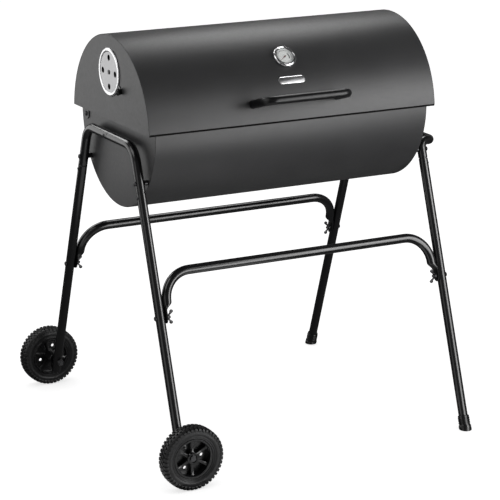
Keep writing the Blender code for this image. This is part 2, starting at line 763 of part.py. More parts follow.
def make_bowl_bolts():
    inner_face = BOWL_LENGTH / 2
    for side, face in CORNERS:
        y = leg_point(side, face, BOWL_BOLT_HEIGHT).y
        near = LEG_X + tube_shift(side, BOWL_BOLT_HEIGHT - SPACER_RADIUS) - TUBE_RADIUS
        far = LEG_X + tube_shift(side, BOWL_BOLT_HEIGHT + BOWL_BOLT_HEAD) + TUBE_RADIUS
        place = Vector((0, y, BOWL_BOLT_HEIGHT))
        bore = BOWL_BOLT_RADIUS + FIT
        low = inner_face + FIT
        high = near - FIT
        spacer = [(SPACER_RADIUS, high), (SPACER_RADIUS, low), (bore, low), (bore, high)]
        sleeve = turned_ring(spacer, place, X_AXIS * side, BOLT_SIDES)
        add(f"spacer_{corner_name(side, face)}", sleeve, BLACK_STEEL, GRILL)
        nut = inner_face - SHEET - FIT
        head = far + FIT
        profile = [
            (BOWL_NUT_RADIUS, nut - BOWL_NUT_HEIGHT),
            (BOWL_NUT_RADIUS, nut),
            (BOWL_BOLT_RADIUS, nut),
            (BOWL_BOLT_RADIUS, head),
            (BOWL_BOLT_HEAD, head),
            (BOWL_BOLT_HEAD * HEAD_CROWN, head + BOWL_BOLT_HEAD_HEIGHT),
        ]
        bolt = turned(profile, place, X_AXIS * side, BOLT_SIDES, hexagons=(0, 1))
        add(f"bowl_bolt_{corner_name(side, face)}", bolt, BLACK_STEEL, GRILL)


def make_legs():
    for side, face in CORNERS:
        down = leg_way(face)
        shoulder, _ = joint_points(side, face)
        top = shoulder + down * (JOINT_STEP + FIT)
        if side < 0:
            end = leg_point(side, face, LEG_END_HEIGHT)
        else:
            end = leg_point(side, face, 0) - down * (FOOT_FLOOR + FIT)
        straight = tube([top, end], [TUBE_RADIUS] * 2)
        leg = add(f"leg_{corner_name(side, face)}", straight, TUBE_PAINT, GRILL)
        bolt_holes(leg, side, face, WING_BOLT_HEIGHT, WING_BOLT_RADIUS + FIT, TUBE_RADIUS + CUT_MARGIN)
        if side < 0:
            axle = leg_point(side, face, WHEEL_RADIUS)
            reach = Y_AXIS * (TUBE_RADIUS + CUT_MARGIN)
            combine(leg, rod(axle - reach, axle + reach, AXLE_RADIUS + FIT), "DIFFERENCE")


def make_feet():
    for face in (-1, 1):
        floor = leg_point(1, face, 0)
        up = -leg_way(face)
        across, square = sides_of(up)
        inner = TUBE_RADIUS + FIT
        outer = inner + FOOT_WALL
        rings = []
        for offset in ring(Vector(), across, square, outer + FOOT_FLARE, ROUND_SIDES):
            rings.append(floor + offset - up * (offset.z / up.z))
        rings = [rings]
        for radius, height in (
            (outer + FOOT_FLARE, FOOT_FLOOR),
            (outer, FOOT_FLOOR + FOOT_WALL),
            (outer, FOOT_LENGTH),
            (inner, FOOT_LENGTH),
            (inner, FOOT_FLOOR),
        ):
            rings.append(ring(floor + up * height, across, square, radius, ROUND_SIDES))
        add(f"foot_cap_{corner_name(1, face)}", loft(rings), BLACK_PLASTIC, GRILL)


def make_stretchers():
    """Bent tubes pressed flat at both ends and bolted to the inner sides of the legs."""
    flat_x = LEG_X - TUBE_RADIUS - FIT - STRETCHER_FLAT / 2
    round_x = LEG_X - 2 * TUBE_RADIUS - FIT
    end_height = WING_BOLT_HEIGHT - STRETCHER_END_BELOW
    flat_height = end_height + STRETCHER_FLAT_LENGTH
    round_height = flat_height + STRETCHER_SQUEEZE
    for face, word in ((-1, "front"), (1, "back")):
        square = X_AXIS.cross(leg_way(face))

        def beside_leg(side, height, x):
            spot = leg_point(side, face, height)
            return Vector((side * x, spot.y, spot.z))

        corners = [
            beside_leg(-1, round_height, round_x),
            beside_leg(-1, STRETCHER_HEIGHT, round_x),
            beside_leg(1, STRETCHER_HEIGHT, round_x),
            beside_leg(1, round_height, round_x),
        ]
        middle = rounded_path(corners, [STRETCHER_BEND] * 2)
        rings = []
        for point, tangent in zip(middle, path_tangents(middle)):
            rings.append(ring(point, square.cross(tangent), square, TUBE_RADIUS, TUBE_SIDES))
        thin = STRETCHER_FLAT / STRETCHER_FLAT_WIDTH
        for height in (flat_height, end_height):
            for side in (-1, 1):
                way = side * leg_way(face)
                point = beside_leg(side, height, flat_x)
                across = square.cross(way)
                flat = ring(point, across, square, STRETCHER_FLAT_WIDTH / 2, TUBE_SIDES, squash=thin)
                rings = [flat] + rings if side < 0 else rings + [flat]
        piece = add(f"stretcher_{word}", loft(rings), TUBE_PAINT, GRILL)
        for side in (-1, 1):
            bolt_holes(piece, side, face, WING_BOLT_HEIGHT, WING_BOLT_RADIUS + FIT, TUBE_RADIUS + CUT_MARGIN)


def make_wing_fixings():
    for side, face in CORNERS:
        y = leg_point(side, face, WING_BOLT_HEIGHT).y
        place = Vector((0, y, WING_BOLT_HEIGHT))
        seat = LEG_X - TUBE_RADIUS - 2 * FIT - STRETCHER_FLAT
        head = LEG_X + TUBE_RADIUS + FIT
        tail = seat - WING_NUT_HEIGHT - WING_BOLT_RADIUS
        out = X_AXIS * side
        profile = [
            (WING_BOLT_RADIUS, tail),
            (WING_BOLT_RADIUS, head),
            (WING_BOLT_HEAD, head),
            (WING_BOLT_HEAD * HEAD_CROWN, head + WING_BOLT_HEAD_HEIGHT),
        ]
        bolt = turned(profile, place, out, BOLT_SIDES)
        add(f"wing_bolt_{corner_name(side, face)}", bolt, BLACK_STEEL, GRILL)

        bore = WING_BOLT_RADIUS + FIT
        nut = [
            (WING_NUT_RADIUS, seat),
            (WING_NUT_TOP, seat - WING_NUT_HEIGHT),
            (bore, seat - WING_NUT_HEIGHT),
            (bore, seat),
        ]
        collar = turned_ring(nut, place, out, BOLT_SIDES)
        hub = add(f"wing_nut_{corner_name(side, face)}", collar, BLACK_STEEL, GRILL)
        wings = bmesh.new()
        for way in (-1, 1):
            root = place + out * (seat - FIT) + Z_AXIS * way * (bore + FIT)
            tip = place + out * (seat - WING_REACH) + Z_AXIS * way * WING_SPAN / 2
            outline = [
                root,
                root - out * (WING_NUT_HEIGHT - FIT),
                tip - out * WING_WIDTH / 2,
                tip,
                tip + out * WING_WIDTH / 2,
            ]
            half = Y_AXIS * WING_THICKNESS / 2
            loft([[point - half for point in outline], [point + half for point in outline]], mesh=wings)
        combine(hub, wings, "UNION")


def make_wheels():
    for face, word in ((-1, "front"), (1, "back")):
        wheel = WHEELS[face]
        out = Y_AXIS * face
        axle = leg_point(-1, face, WHEEL_RADIUS)
        centre = axle + out * WHEEL_OFFSET
        half = RIM_WIDTH / 2
        rim = [
            (RIM_OUTER, half),
            (RIM_OUTER, -half),
            (RIM_OUTER - RIM_WALL, -half),
            (RIM_OUTER - RIM_WELL, 0),
            (RIM_OUTER - RIM_WALL, half),
        ]
        piece = add(f"wheel_{word}", turned_ring(rim, centre, out, 2 * HOLE_SIDES), BLACK_PLASTIC, wheel)
        spokes = bmesh.new()
        inner = AXLE_RADIUS + RUNNING_FIT + (HUB_RADIUS - AXLE_RADIUS) / 3
        outer = RIM_OUTER - RIM_WALL / 2
        first = math.radians(BACK_WHEEL_TURN) if face > 0 else 0.0
        for index in range(SPOKES):
            turn = first + 2 * math.pi * index / SPOKES
            along = X_AXIS * math.sin(turn) + Z_AXIS * math.cos(turn)
            aside = along.cross(Y_AXIS)
            rings = []
            for radius, width in ((inner, SPOKE_ROOT), (outer, SPOKE_TIP)):
                spot = centre + out * SPOKE_SET + along * radius
                wide = aside * width / 2
                deep = out * SPOKE_DEPTH / 2
                rings.append([spot - wide - deep, spot + wide - deep, spot + wide + deep, spot - wide + deep])
            loft(rings, mesh=spokes)
        bore = AXLE_RADIUS + RUNNING_FIT
        low = HUB_STANDOFF - WHEEL_OFFSET
        recess = HUB_FACE - HUB_RECESS
        hub = [(HUB_RADIUS, HUB_FACE), (HUB_RADIUS, low), (bore, low), (bore, recess)]
        hub += [(HUB_RECESS_RADIUS, recess), (HUB_RECESS_RADIUS, HUB_FACE)]
        web_low = WEB_SET - WEB_THICKNESS / 2
        web_high = WEB_SET + WEB_THICKNESS / 2
        web = [(outer, web_high), (outer, web_low), (inner, web_low), (inner, web_high)]
        combine(piece, spokes, "UNION")
        combine(piece, turned_ring(web, centre, out, 2 * HOLE_SIDES), "UNION")
        combine(piece, turned_ring(hub, centre, out, ROUND_SIDES), "UNION")
        for index in range(WEB_HOLES):
            turn = first + math.pi / 2 + 2 * math.pi * index / WEB_HOLES
            spot = centre + (X_AXIS * math.sin(turn) + Z_AXIS * math.cos(turn)) * WEB_HOLE_CIRCLE
            hole = rod(spot - out * CUT_MARGIN, spot + out * CUT_MARGIN, WEB_HOLE_RADIUS)
            combine(piece, hole, "DIFFERENCE")

        add(f"tyre_{word}", tyre(centre, out), TYRE_RUBBER, wheel)

        nut = -(TUBE_RADIUS / LEG_RISE + AXLE_NUT_RADIUS * LEG_SPLAY + FIT)
        head = WHEEL_OFFSET + recess + FIT
        profile = [
            (AXLE_NUT_RADIUS, nut - AXLE_NUT_HEIGHT),
            (AXLE_NUT_RADIUS, nut),
            (AXLE_RADIUS, nut),
            (AXLE_RADIUS, head),
            (AXLE_HEAD, head),
            (AXLE_HEAD, head + AXLE_HEAD_HEIGHT * HEAD_CROWN),
            (AXLE_HEAD * HEAD_CROWN, head + AXLE_HEAD_HEIGHT),
        ]
        bolt = turned(profile, axle, out, BOLT_SIDES, hexagons=(0, 1))
        add(f"axle_bolt_{word}", bolt, BLACK_STEEL, GRILL)


def tyre(centre, out):
    """A tyre turned about its axle, with blocks standing proud round its crown and shoulders."""
    half = TYRE_WIDTH / 2
    seat = RIM_OUTER + FIT
    bead = RIM_WIDTH / 2
    crown = WHEEL_RADIUS
    swell = seat + (crown - seat) * TYRE_SWELL
    shoulder = crown - SHOULDER_DROP
    rings = []
    for step in range(4 * TREAD_LUGS):
        turn = 2 * math.pi * step / (4 * TREAD_LUGS)
        along = X_AXIS * math.cos(turn) + Z_AXIS * math.sin(turn)
        groove = TREAD_DEPTH if step % 4 >= 2 else 0.0
        other = TREAD_DEPTH - groove
        profile = [
            (seat, bead),
            (swell, half),
            (shoulder - groove, half * SHOULDER_SPREAD),
            (crown - groove, half * CROWN_SPREAD),
            (crown - TREAD_DEPTH, 0),
            (crown - other, -half * CROWN_SPREAD),
            (shoulder - other, -half * SHOULDER_SPREAD),
            (swell, -half),
            (seat, -bead),
        ]
        rings.append([centre + along * radius + out * offset for radius, offset in profile])
    return loft(rings, closed=True)


def wire_grid(name, centre, length, depth, bars, cross_bars, wire):
    """A welded grid: thick wires from front to back on a few wires that run along the barrel."""
    half = wire / 2
    long_wires = bmesh.new()
    short_wires = bmesh.new()
    for index in range(bars):
        x = centre.x - length / 2 + half + (length - wire) * index / (bars - 1)
        low = (x - half, centre.y - depth / 2, centre.z)
        block(low, (x + half, centre.y + depth / 2, centre.z + wire), mesh=short_wires)
    for index in range(cross_bars):
        spread = depth - 2 * CROSS_BAR_INSET
        y = centre.y - spread / 2 + spread * index / (cross_bars - 1)
        low = (centre.x - length / 2, y - half, centre.z - wire + WIRE_WELD)
        block(low, (centre.x + length / 2, y + half, centre.z + WIRE_WELD), mesh=long_wires)
    grid = add(name, long_wires, GRILL_WIRE_METAL, GRILL)
    return combine(grid, short_wires, "UNION")


def make_grills():
    room = BOWL_LENGTH - 2 * GRILL_END_ROOM - GRILL_GAP
    for side, word in SIDES:
        centre = Vector((side * (GRILL_GAP + room / 2) / 2, 0, BOWL_TOP + FIT))
        name = f"cooking_grill_{word}"
        wire_grid(name, centre, room / 2, GRILL_DEPTH, GRILL_BARS, GRILL_CROSS_BARS, GRILL_WIRE)
    inside = BOWL_RADIUS - SHEET - FIT
    height = RIM_HEIGHT - math.sqrt(inside**2 - (GRATE_DEPTH / 2) ** 2)
    centre = Vector((0, 0, height))
    wire_grid("charcoal_grate", centre, GRATE_LENGTH, GRATE_DEPTH, GRATE_BARS, GRATE_CROSS_BARS, GRATE_WIRE)


clear_scene()

DRUM_PAINT = material("drum_paint", (0.035, 0.035, 0.037), 0.42, 0.0)
TUBE_PAINT = material("tube_paint", (0.012, 0.012, 0.013), 0.28, 0.0)
BLACK_STEEL = material("black_steel", (0.03, 0.03, 0.032), 0.35, 0.6)
BLACK_PLASTIC = material("black_plastic", (0.015, 0.015, 0.016), 0.45, 0.0)
TYRE_RUBBER = material("tyre_rubber", (0.02, 0.02, 0.021), 0.7, 0.0)
CHROME = material("chrome", (0.75, 0.75, 0.76), 0.12, 1.0)
DIAL_WHITE = material("dial_white", (0.7, 0.7, 0.68), 0.5, 0.0)
CLEAR_GLASS = material("clear_glass", (0.9, 0.93, 0.93), 0.05, 0.0)
NEEDLE_RED = material("needle_red", (0.5, 0.03, 0.02), 0.4, 0.0)
BADGE_METAL = material("badge_metal", (0.55, 0.55, 0.56), 0.3, 1.0)
VENT_METAL = material("vent_metal", (0.68, 0.68, 0.69), 0.3, 1.0)
GRILL_WIRE_METAL = material("grill_wire", (0.6, 0.6, 0.6), 0.25, 1.0)

GRILL = pivot("grill", (0, 0, 0))
LID = pivot("lid_pivot", (0, HINGE_Y, HINGE_Z), GRILL)
NEEDLE = pivot("needle_pivot", lid_frame(THERMOMETER_ANGLE)[0], LID)
VENTS = {side: pivot(f"vent_pivot_{word}", (side * LID_LENGTH / 2, 0, VENT_Z), LID) for side, word in SIDES}
WHEELS = {}
for wheel_face in (-1, 1):
    wheel_spot = leg_point(-1, wheel_face, WHEEL_RADIUS) + Y_AXIS * wheel_face * WHEEL_OFFSET
    WHEELS[wheel_face] = pivot(f"wheel_pivot_{wheel_face}", wheel_spot, GRILL)
GRILL.location.x = CENTRE_SHIFT

make_bowl()
make_lid()
make_hinges()
make_handle()
make_thermometer()
make_badge()
make_vents()
make_left_frame()
make_right_frame()
make_bowl_bolts()
make_legs()
make_feet()
make_stretchers()
make_wing_fixings()
make_wheels()
make_grills()
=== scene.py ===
"""Barrel charcoal grill: the finished pieces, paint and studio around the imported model.

Units are metres and +Z is up. The barrel lies along X and the front of the grill faces -Y.
Pieces are drawn with X = 0 at the middle of the barrel, then moved to where the frame has it.
"""

import json
import math

import bmesh
import bpy
from bpy.props import FloatProperty, FloatVectorProperty, IntProperty, PointerProperty
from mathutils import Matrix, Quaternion, Vector


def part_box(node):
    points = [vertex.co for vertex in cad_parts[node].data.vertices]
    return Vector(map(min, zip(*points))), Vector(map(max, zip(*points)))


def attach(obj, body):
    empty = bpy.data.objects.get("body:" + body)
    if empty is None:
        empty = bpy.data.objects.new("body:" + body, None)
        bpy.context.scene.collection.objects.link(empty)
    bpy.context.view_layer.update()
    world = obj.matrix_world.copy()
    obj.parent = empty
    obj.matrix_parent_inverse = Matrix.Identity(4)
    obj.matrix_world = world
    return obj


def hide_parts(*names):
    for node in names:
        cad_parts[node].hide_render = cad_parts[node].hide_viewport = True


bl_info = {
    "name": "Barrel Grill",
    "version": (1, 0, 0),
    "blender": (4, 5, 0),
    "location": "3D View > Sidebar > Barrel Grill",
    "description": "Dresses the packed model of a barrel charcoal grill and sets it in a pale studio",
    "category": "Object",
}

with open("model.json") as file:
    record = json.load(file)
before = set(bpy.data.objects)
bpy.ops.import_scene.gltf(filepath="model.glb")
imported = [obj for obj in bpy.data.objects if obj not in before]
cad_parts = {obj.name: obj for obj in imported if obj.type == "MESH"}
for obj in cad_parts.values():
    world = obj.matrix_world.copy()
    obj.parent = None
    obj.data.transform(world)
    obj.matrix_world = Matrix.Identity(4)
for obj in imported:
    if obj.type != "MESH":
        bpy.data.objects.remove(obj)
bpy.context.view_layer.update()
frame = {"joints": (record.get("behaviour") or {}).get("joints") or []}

X_AXIS = Vector((1, 0, 0))
Y_AXIS = Vector((0, 1, 0))
Z_AXIS = Vector((0, 0, 1))
SIDES = ((-1, "left"), (1, "right"))
FACES = ((-1, "front"), (1, "back"))
CORNERS = [(side, face) for side, _ in SIDES for face, _ in FACES]

LID_LOW, LID_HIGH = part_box("lid_shell")
BOWL_LOW, BOWL_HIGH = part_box("bowl_shell")
WHEEL_LOW, WHEEL_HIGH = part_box("tyre_front")
VENT_LOW, VENT_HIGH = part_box("vent_rivet_left")
HINGE = frame["joints"][0]["pos_m"]
MIDDLE = X_AXIS * (LID_LOW.x + LID_HIGH.x) / 2
RIM = LID_LOW.z
LID_HALF_WIDTH = (LID_HIGH.y - LID_LOW.y) / 2
LID_RISE = LID_HIGH.z - LID_LOW.z
LID_RADIUS = (LID_HALF_WIDTH**2 + LID_RISE**2) / (2 * LID_RISE)

WHITE = (1, 1, 1, 1)
POLE = 0.0004  # radius of the tiny flat at a turned piece's pole
BOLT = 0.003  # radius of the bolts, height of their heads and size of the cross in them
BOLT_HEAD = 0.0055
BOLT_NUT_HEIGHT = 0.004


# Sizes


def length(name, description, default):
    return FloatProperty(name=name, description=description, default=default, unit="LENGTH")


def angle(name, description, degrees):
    return FloatProperty(name=name, description=description, default=math.radians(degrees), subtype="ANGLE")


def count(name, description, default, least):
    return IntProperty(name=name, description=description, default=default, min=least)


def colour(name, description, *default):
    return FloatVectorProperty(name=name, description=description, default=default, subtype="COLOR")


class DrumSizes(bpy.types.PropertyGroup):
    """Sheet-metal bowl and lid."""

    lid_length: length("Lid length", "Length of the lid along the barrel", LID_HIGH.x - LID_LOW.x)
    lid_radius: length("Lid radius", "Outer radius of the lid's curve", LID_RADIUS)
    lid_rim: length("Lid rim", "Height of the lid's lower edge", RIM)
    lid_top: length("Lid top", "Height of the lid's crown", LID_HIGH.z)
    bowl_length: length("Bowl length", "Length of the bowl along the barrel", BOWL_HIGH.x - BOWL_LOW.x)
    bowl_radius: length("Bowl radius", "Outer radius of the bowl", (BOWL_HIGH.y - BOWL_LOW.y) / 2)
    bowl_top: length("Bowl top", "Height of the bowl's lip", BOWL_HIGH.z)
    lip: length("Lip", "Width of the lip turned in at the bowl's rim", 0.014)
    sheet: length("Sheet", "Thickness of the sheet", 0.0012)
    seam: length("Seam", "Gap between a shell and its end plate", 0.0003)
    hem: length("Hem", "Depth of the hem folded in at the lid's back edge", 0.011)
    bead: length("Bead", "Radius of the bead rolled along the lid's front edge", 0.0029)
    edge: length("Edge", "Rounding of the sheet's edges", 0.0004)
    steps: count("Steps", "Steps round half of the drum", 112, 12)


class LidTrimSizes(bpy.types.PropertyGroup):
    """Handle, thermometer and badge on the front of the lid, and the vents at its ends."""

    handle_angle: angle("Handle angle", "Angle up the lid's curve", 16.6)
    handle_span: length("Handle span", "Distance between the handle's feet", 0.217)
    handle_reach: length("Handle reach", "From the lid to the bar's middle", 0.07)
    handle_bar: length("Handle bar", "Radius of the handle's bar", 0.01)
    handle_bend: length("Handle bend", "Radius of the handle's bends", 0.024)
    dial_angle: angle("Dial angle", "Angle of the thermometer up the lid's curve", 45.5)
    dial_radius: length("Dial radius", "Outer radius of the thermometer", 0.028)
    dial_depth: length("Dial depth", "Depth of the thermometer's case", 0.008)
    dial_ticks: count("Dial ticks", "Number of marks on the dial", 31, 3)
    needle_rest: angle("Needle rest", "Turn of the cold needle from upright", 125)
    badge_angle: angle("Badge angle", "Angle of the badge up the lid's curve", 29.7)
    badge_width: length("Badge width", "Length of the bare badge", 0.07)
    badge_height: length("Badge height", "Height of the bare badge", 0.0175)
    vent_height: length("Vent height", "Height of the vents' rivets", (VENT_LOW.z + VENT_HIGH.z) / 2)
    vent_radius: length("Vent radius", "Radius of a vent disc", 0.056)
    vent_rim: length("Vent rim", "Width of a vent's rolled rim", 0.0092)
    vent_holes: count("Vent holes", "Holes in a vent disc", 4, 2)
    vent_hole: length("Vent hole", "Radius of a vent hole", 0.007)
    vent_circle: length("Vent circle", "Radius on which the holes lie", 0.0335)
    knob_angle: angle("Knob angle", "Turn of the vent's knob from the front", -29)
    knob_circle: length("Knob circle", "From the vent's rivet to its knob", 0.071)


class HingeSizes(bpy.types.PropertyGroup):
    """Cranked straps that carry the lid."""

    axis_y: length("Axis Y", "Depth of the hinge axis", HINGE[1])
    axis_z: length("Axis Z", "Height of the hinge axis", HINGE[2])
    ear: length("Ear", "Radius of a strap's rounded end", 0.013)
    thickness: length("Thickness", "Thickness of a strap", 0.002)
    gap: length("Gap", "Gap between a strap and the bowl's end", 0.0005)
    reach: length("Reach", "Height of a strap's upper half", 0.035)
    web_rise: length("Web rise", "Height of the crank above the rim", 0.006)


class StandSizes(bpy.types.PropertyGroup):
    """Tubes, stretchers and fasteners of the stand."""

    tube: length("Tube", "Outer radius of the tubes", 0.011)
    plug: length("Plug", "Radius of a tube's slim end", 0.0095)
    rim: length("Rim", "Height from which the legs splay", RIM)
    leg_x: length("Leg X", "From the barrel's middle to the legs", 0.374)
    leg_top_y: length("Leg top Y", "Depth of the legs at the rim", 0.1158)
    splay: FloatProperty(name="Splay", description="Depth a leg gains for each metre down", default=0.3443)
    top_height: length("Top height", "Height of the left top tube", RIM - 0.037)
    top_bend: length("Top bend", "Radius of the left top tube's bends", 0.05)
    joint_height: length("Joint height", "Height of the leg joints", RIM - 0.136)
    joint_insert: length("Joint insert", "Length of a plug", 0.035)
    joint_gap: length("Joint gap", "Gap between two joined tubes", 0.0015)
    carry_height: length("Carry height", "Height of the carrying handle's bend", RIM - 0.096)
    carry_reach: length("Carry reach", "Reach of the carrying handle", 0.038)
    carry_inset: length("Carry inset", "How far its corners step in", 0.0116)
    carry_drop: length("Carry drop", "How far the grip lies below the bend", 0.004)
    carry_bend: length("Carry bend", "Radius of its bends", 0.0195)
    bolt_height: length("Bolt height", "Height of the bolts in the bowl", RIM - 0.116)
    stretcher_height: length("Stretcher height", "Height of the stretchers", 0.4485)
    stretcher_bend: length("Stretcher bend", "Radius of their bends", 0.065)
    flat: length("Flat", "Thickness of a pressed end", 0.005)
    flat_width: length("Flat width", "Width of a pressed end", 0.026)
    flat_length: length("Flat length", "Length of a pressed end", 0.026)
    squeeze: length("Squeeze", "Length from round to flat", 0.018)
    wing_height: length("Wing height", "Height of the wing nuts", 0.3545)
    leg_end: length("Leg end", "Height of the left legs' lower ends", 0.045)
    fit: length("Fit", "Gap between pieces that touch", 0.0003)


class WheelSizes(bpy.types.PropertyGroup):
    """Wheels, tyres and axles."""

    radius: length("Radius", "Radius over the tread", (WHEEL_HIGH.z - WHEEL_LOW.z) / 2)
    offset: length("Offset", "From the leg to the wheel's middle", 0.056)
    tyre_width: length("Tyre width", "Width of a tyre", 0.036)
    rim: length("Rim", "Outer radius of the rim", 0.047)
    rim_width: length("Rim width", "Width of the rim", 0.029)
    hub: length("Hub", "Radius of the hub", 0.0135)
    bore: length("Bore", "Radius of the hub's bore", 0.0053)
    axle: length("Axle", "Radius of the axle bolt", 0.005)
    spokes: count("Spokes", "Number of spokes", 6, 3)
    holes: count("Web holes", "Number of holes in a wheel's web", 3, 1)
    hole: length("Web hole", "Radius of a hole in the web", 0.0042)
    hole_circle: length("Web circle", "Radius on which those holes lie", 0.0275)
    back_turn: angle("Back turn", "How far the back wheel is turned at rest", -75)
    lugs: count("Lugs", "Tread blocks in a row", 46, 8)
    lug_height: length("Lug height", "Height of a tread block", 0.0022)


class GrillSizes(bpy.types.PropertyGroup):
    """Wire racks inside the bowl."""

    bars: count("Bars", "Wires from front to back in a cooking grill", 14, 2)
    cross_bars: count("Cross bars", "Wires along the barrel", 3, 2)
    grate_bars: count("Grate bars", "Wires in the charcoal grate", 11, 2)
    grill_wire: length("Grill wire", "Thickness of a cooking grill's wire", 0.004)
    grate_wire: length("Grate wire", "Thickness of the grate's wire", 0.005)
    inset: length("Inset", "From a rack's edge to its outer cross wire", 0.028)


class Colours(bpy.types.PropertyGroup):
    """Base colours of the finishes."""

    drum: colour("Drum", "Satin paint of the drum", 0.03, 0.03, 0.031)
    tube: colour("Tubes", "Glossy coat of the tubes", 0.005, 0.005, 0.0055)
    steel: colour("Fasteners", "Black fasteners", 0.045, 0.045, 0.047)
    plastic: colour("Plastic", "Moulded black plastic", 0.007, 0.007, 0.0075)
    rubber: colour("Rubber", "Tyre rubber", 0.012, 0.012, 0.0125)
    zinc: colour("Zinc", "Plated vent discs", 0.37, 0.37, 0.375)
    chrome: colour("Chrome", "Bezel and badge", 0.84, 0.84, 0.85)
    dial: colour("Dial", "Printed dial", 0.95, 0.95, 0.93)
    ink: colour("Ink", "Marks on the dial", 0.03, 0.03, 0.032)
    needle: colour("Needle", "Painted needle", 0.13, 0.014, 0.012)
    lens: colour("Lens", "Clear pane over the dial", 0.9, 0.93, 0.93)
    floor: colour("Floor", "Studio floor", 0.93, 0.93, 0.93)


class BarrelGrillSettings(bpy.types.PropertyGroup):
    """All sizes and colours of the grill."""

    drum: PointerProperty(type=DrumSizes)
    trim: PointerProperty(type=LidTrimSizes)
    hinge: PointerProperty(type=HingeSizes)
    stand: PointerProperty(type=StandSizes)
    wheel: PointerProperty(type=WheelSizes)
    grill: PointerProperty(type=GrillSizes)
    colours: PointerProperty(type=Colours)


def settings():
    return bpy.context.scene.barrel_grill


# Meshes


def steps_over(steps, first=0.0, last=1.0):
    """Evenly spaced values from first to last."""
    return [first + (last - first) * step / steps for step in range(steps + 1)]


def sides_of(direction):
    """Two unit vectors square to a direction and to each other."""
    start = X_AXIS if abs(direction.x) < 0.9 else Y_AXIS
    across = direction.cross(start).normalized()
    return across, direction.cross(across).normalized()


def ring(centre, across, up, radius, sides, squash=1.0):
    """Points round a circle, or round an ellipse that is squashed along across."""
    points = []
    for step in range(sides):
        turn = 2 * math.pi * step / sides
        points.append(centre + across * math.cos(turn) * radius * squash + up * math.sin(turn) * radius)
    return points


def skin(rings, loop=False, mesh=None):
    """Skins rings of equally many points into a closed body: capped at both ends, or closed to a loop."""
    mesh = mesh or bmesh.new()
    before = mesh.calc_volume(signed=True)
    rows = [[mesh.verts.new(point) for point in points] for points in rings]
    faces = []
    for first, second in zip(rows, rows[1:] + rows[:1] if loop else rows[1:]):
        for i in range(len(first)):
            j = (i + 1) % len(first)
            faces.append(mesh.faces.new((first[i], first[j], second[j], second[i])))
    if not loop:
        faces.append(mesh.faces.new(reversed(rows[0])))
        faces.append(mesh.faces.new(rows[-1]))
    if mesh.calc_volume(signed=True) < before:
        bmesh.ops.reverse_faces(mesh, faces=faces)
    return mesh


def lathe(profile, base, direction, sides=48, loop=False, mesh=None):
    """Turns (radius, height) points about an axis."""
    across, up = sides_of(direction)
    rings = [ring(base + direction * height, across, up, radius, sides) for radius, height in profile]
    return skin(rings, loop, mesh)


def rounded(profile, radius, steps=4):
    """Rounds the inner corners of a line of (radius, height) points."""
    points = [Vector((*point, 0)) for point in profile]
    soft = []
    for before, corner, after in zip(points, points[1:], points[2:]):
        reach = min(radius, (before - corner).length / 2, (after - corner).length / 2)
        start = corner + (before - corner).normalized() * reach
        end = corner + (after - corner).normalized() * reach
        for share in steps_over(steps):
            soft.append(start.lerp(corner, share).lerp(corner.lerp(end, share), share))
    return [tuple(point[:2]) for point in [points[0]] + soft + [points[-1]]]


def hexagon(base, direction, radius, height, mesh=None):
    """A hexagonal nut or head with chamfered corners."""
    across, up = sides_of(direction)
    sides = 24  # four to each flat
    flat = math.cos(math.pi / 6)
    chamfer = radius * (1 - flat)
    low = chamfer / 2
    levels = ((0, radius - chamfer), (low, radius), (height - low, radius), (height, radius - chamfer))
    rings = []
    for level, limit in levels:
        points = []
        for step in range(sides):
            turn = 2 * math.pi * step / sides
            reach = min(limit, radius * flat / math.cos(turn % (math.pi / 3) - math.pi / 6))
            points.append(base + direction * level + (across * math.cos(turn) + up * math.sin(turn)) * reach)
        rings.append(points)
    return skin(rings, mesh=mesh)


def bent_path(corners, radii, steps=14):
    """A line with each inner corner replaced by an arc."""
    path = [corners[0]]
    for before, corner, after, radius in zip(corners, corners[1:], corners[2:], radii):
        back = (before - corner).normalized()
        ahead = (after - corner).normalized()
        half = back.angle(ahead) / 2
        centre = corner + (back + ahead).normalized() * radius / math.sin(half)
        start = corner + back * radius / math.tan(half) - centre
        axis = back.cross(ahead).normalized()
        path += [centre + Quaternion(axis, turn) @ start for turn in steps_over(steps, 0, 2 * half - math.pi)]
    return path + [corners[-1]]


def tangents(path):
    ways = [(b - a).normalized() for a, b in zip(path, path[1:])]
    return [ways[0]] + [(a + b).normalized() for a, b in zip(ways, ways[1:])] + [ways[-1]]


def swept(path, radii, sides=36, mesh=None):
    """A round bar along a path, with a radius for each of its points."""
    ways = tangents(path)
    across, _ = sides_of(ways[0])
    rings = []
    for last, way, point, radius in zip(ways[:1] + ways, ways, path, radii):
        across = last.rotation_difference(way) @ across
        rings.append(ring(point, across, way.cross(across), radius, sides))
    return skin(rings, mesh=mesh)


def tube_with_ends(path, radius, chamfer=0.0006):
    """A bar along a path whose two end edges are rounded."""
    first = (path[1] - path[0]).normalized()
    last = (path[-2] - path[-1]).normalized()
    points = [path[0], path[0] + first * chamfer] + path[1:-1] + [path[-1] + last * chamfer, path[-1]]
    radii = [radius - chamfer] + [radius] * (len(points) - 2) + [radius - chamfer]
    return swept(points, radii)


def plate(outline, depth, mesh=None):
    """A plate from an outline, thickened by a vector."""
    return skin([outline, [point + depth for point in outline]], mesh=mesh)


def arc(radius, centre_z, start, end, steps):
    """Points (y, z) on an arc whose angle runs from the front through the top."""
    turns = steps_over(steps, start, end)
    return [(-radius * math.cos(turn), centre_z + radius * math.sin(turn)) for turn in turns]


def bent_sheet(outer, inner, along, mesh=None):
    """A sheet along X from the (y, z) points of its two faces."""
    half = along / 2
    rings = []
    for out, back in zip(outer, inner):
        corners = ((-half, out), (half, out), (half, back), (-half, back))
        rings.append([Vector((x, *point)) for x, point in corners])
    return skin(rings, mesh=mesh)


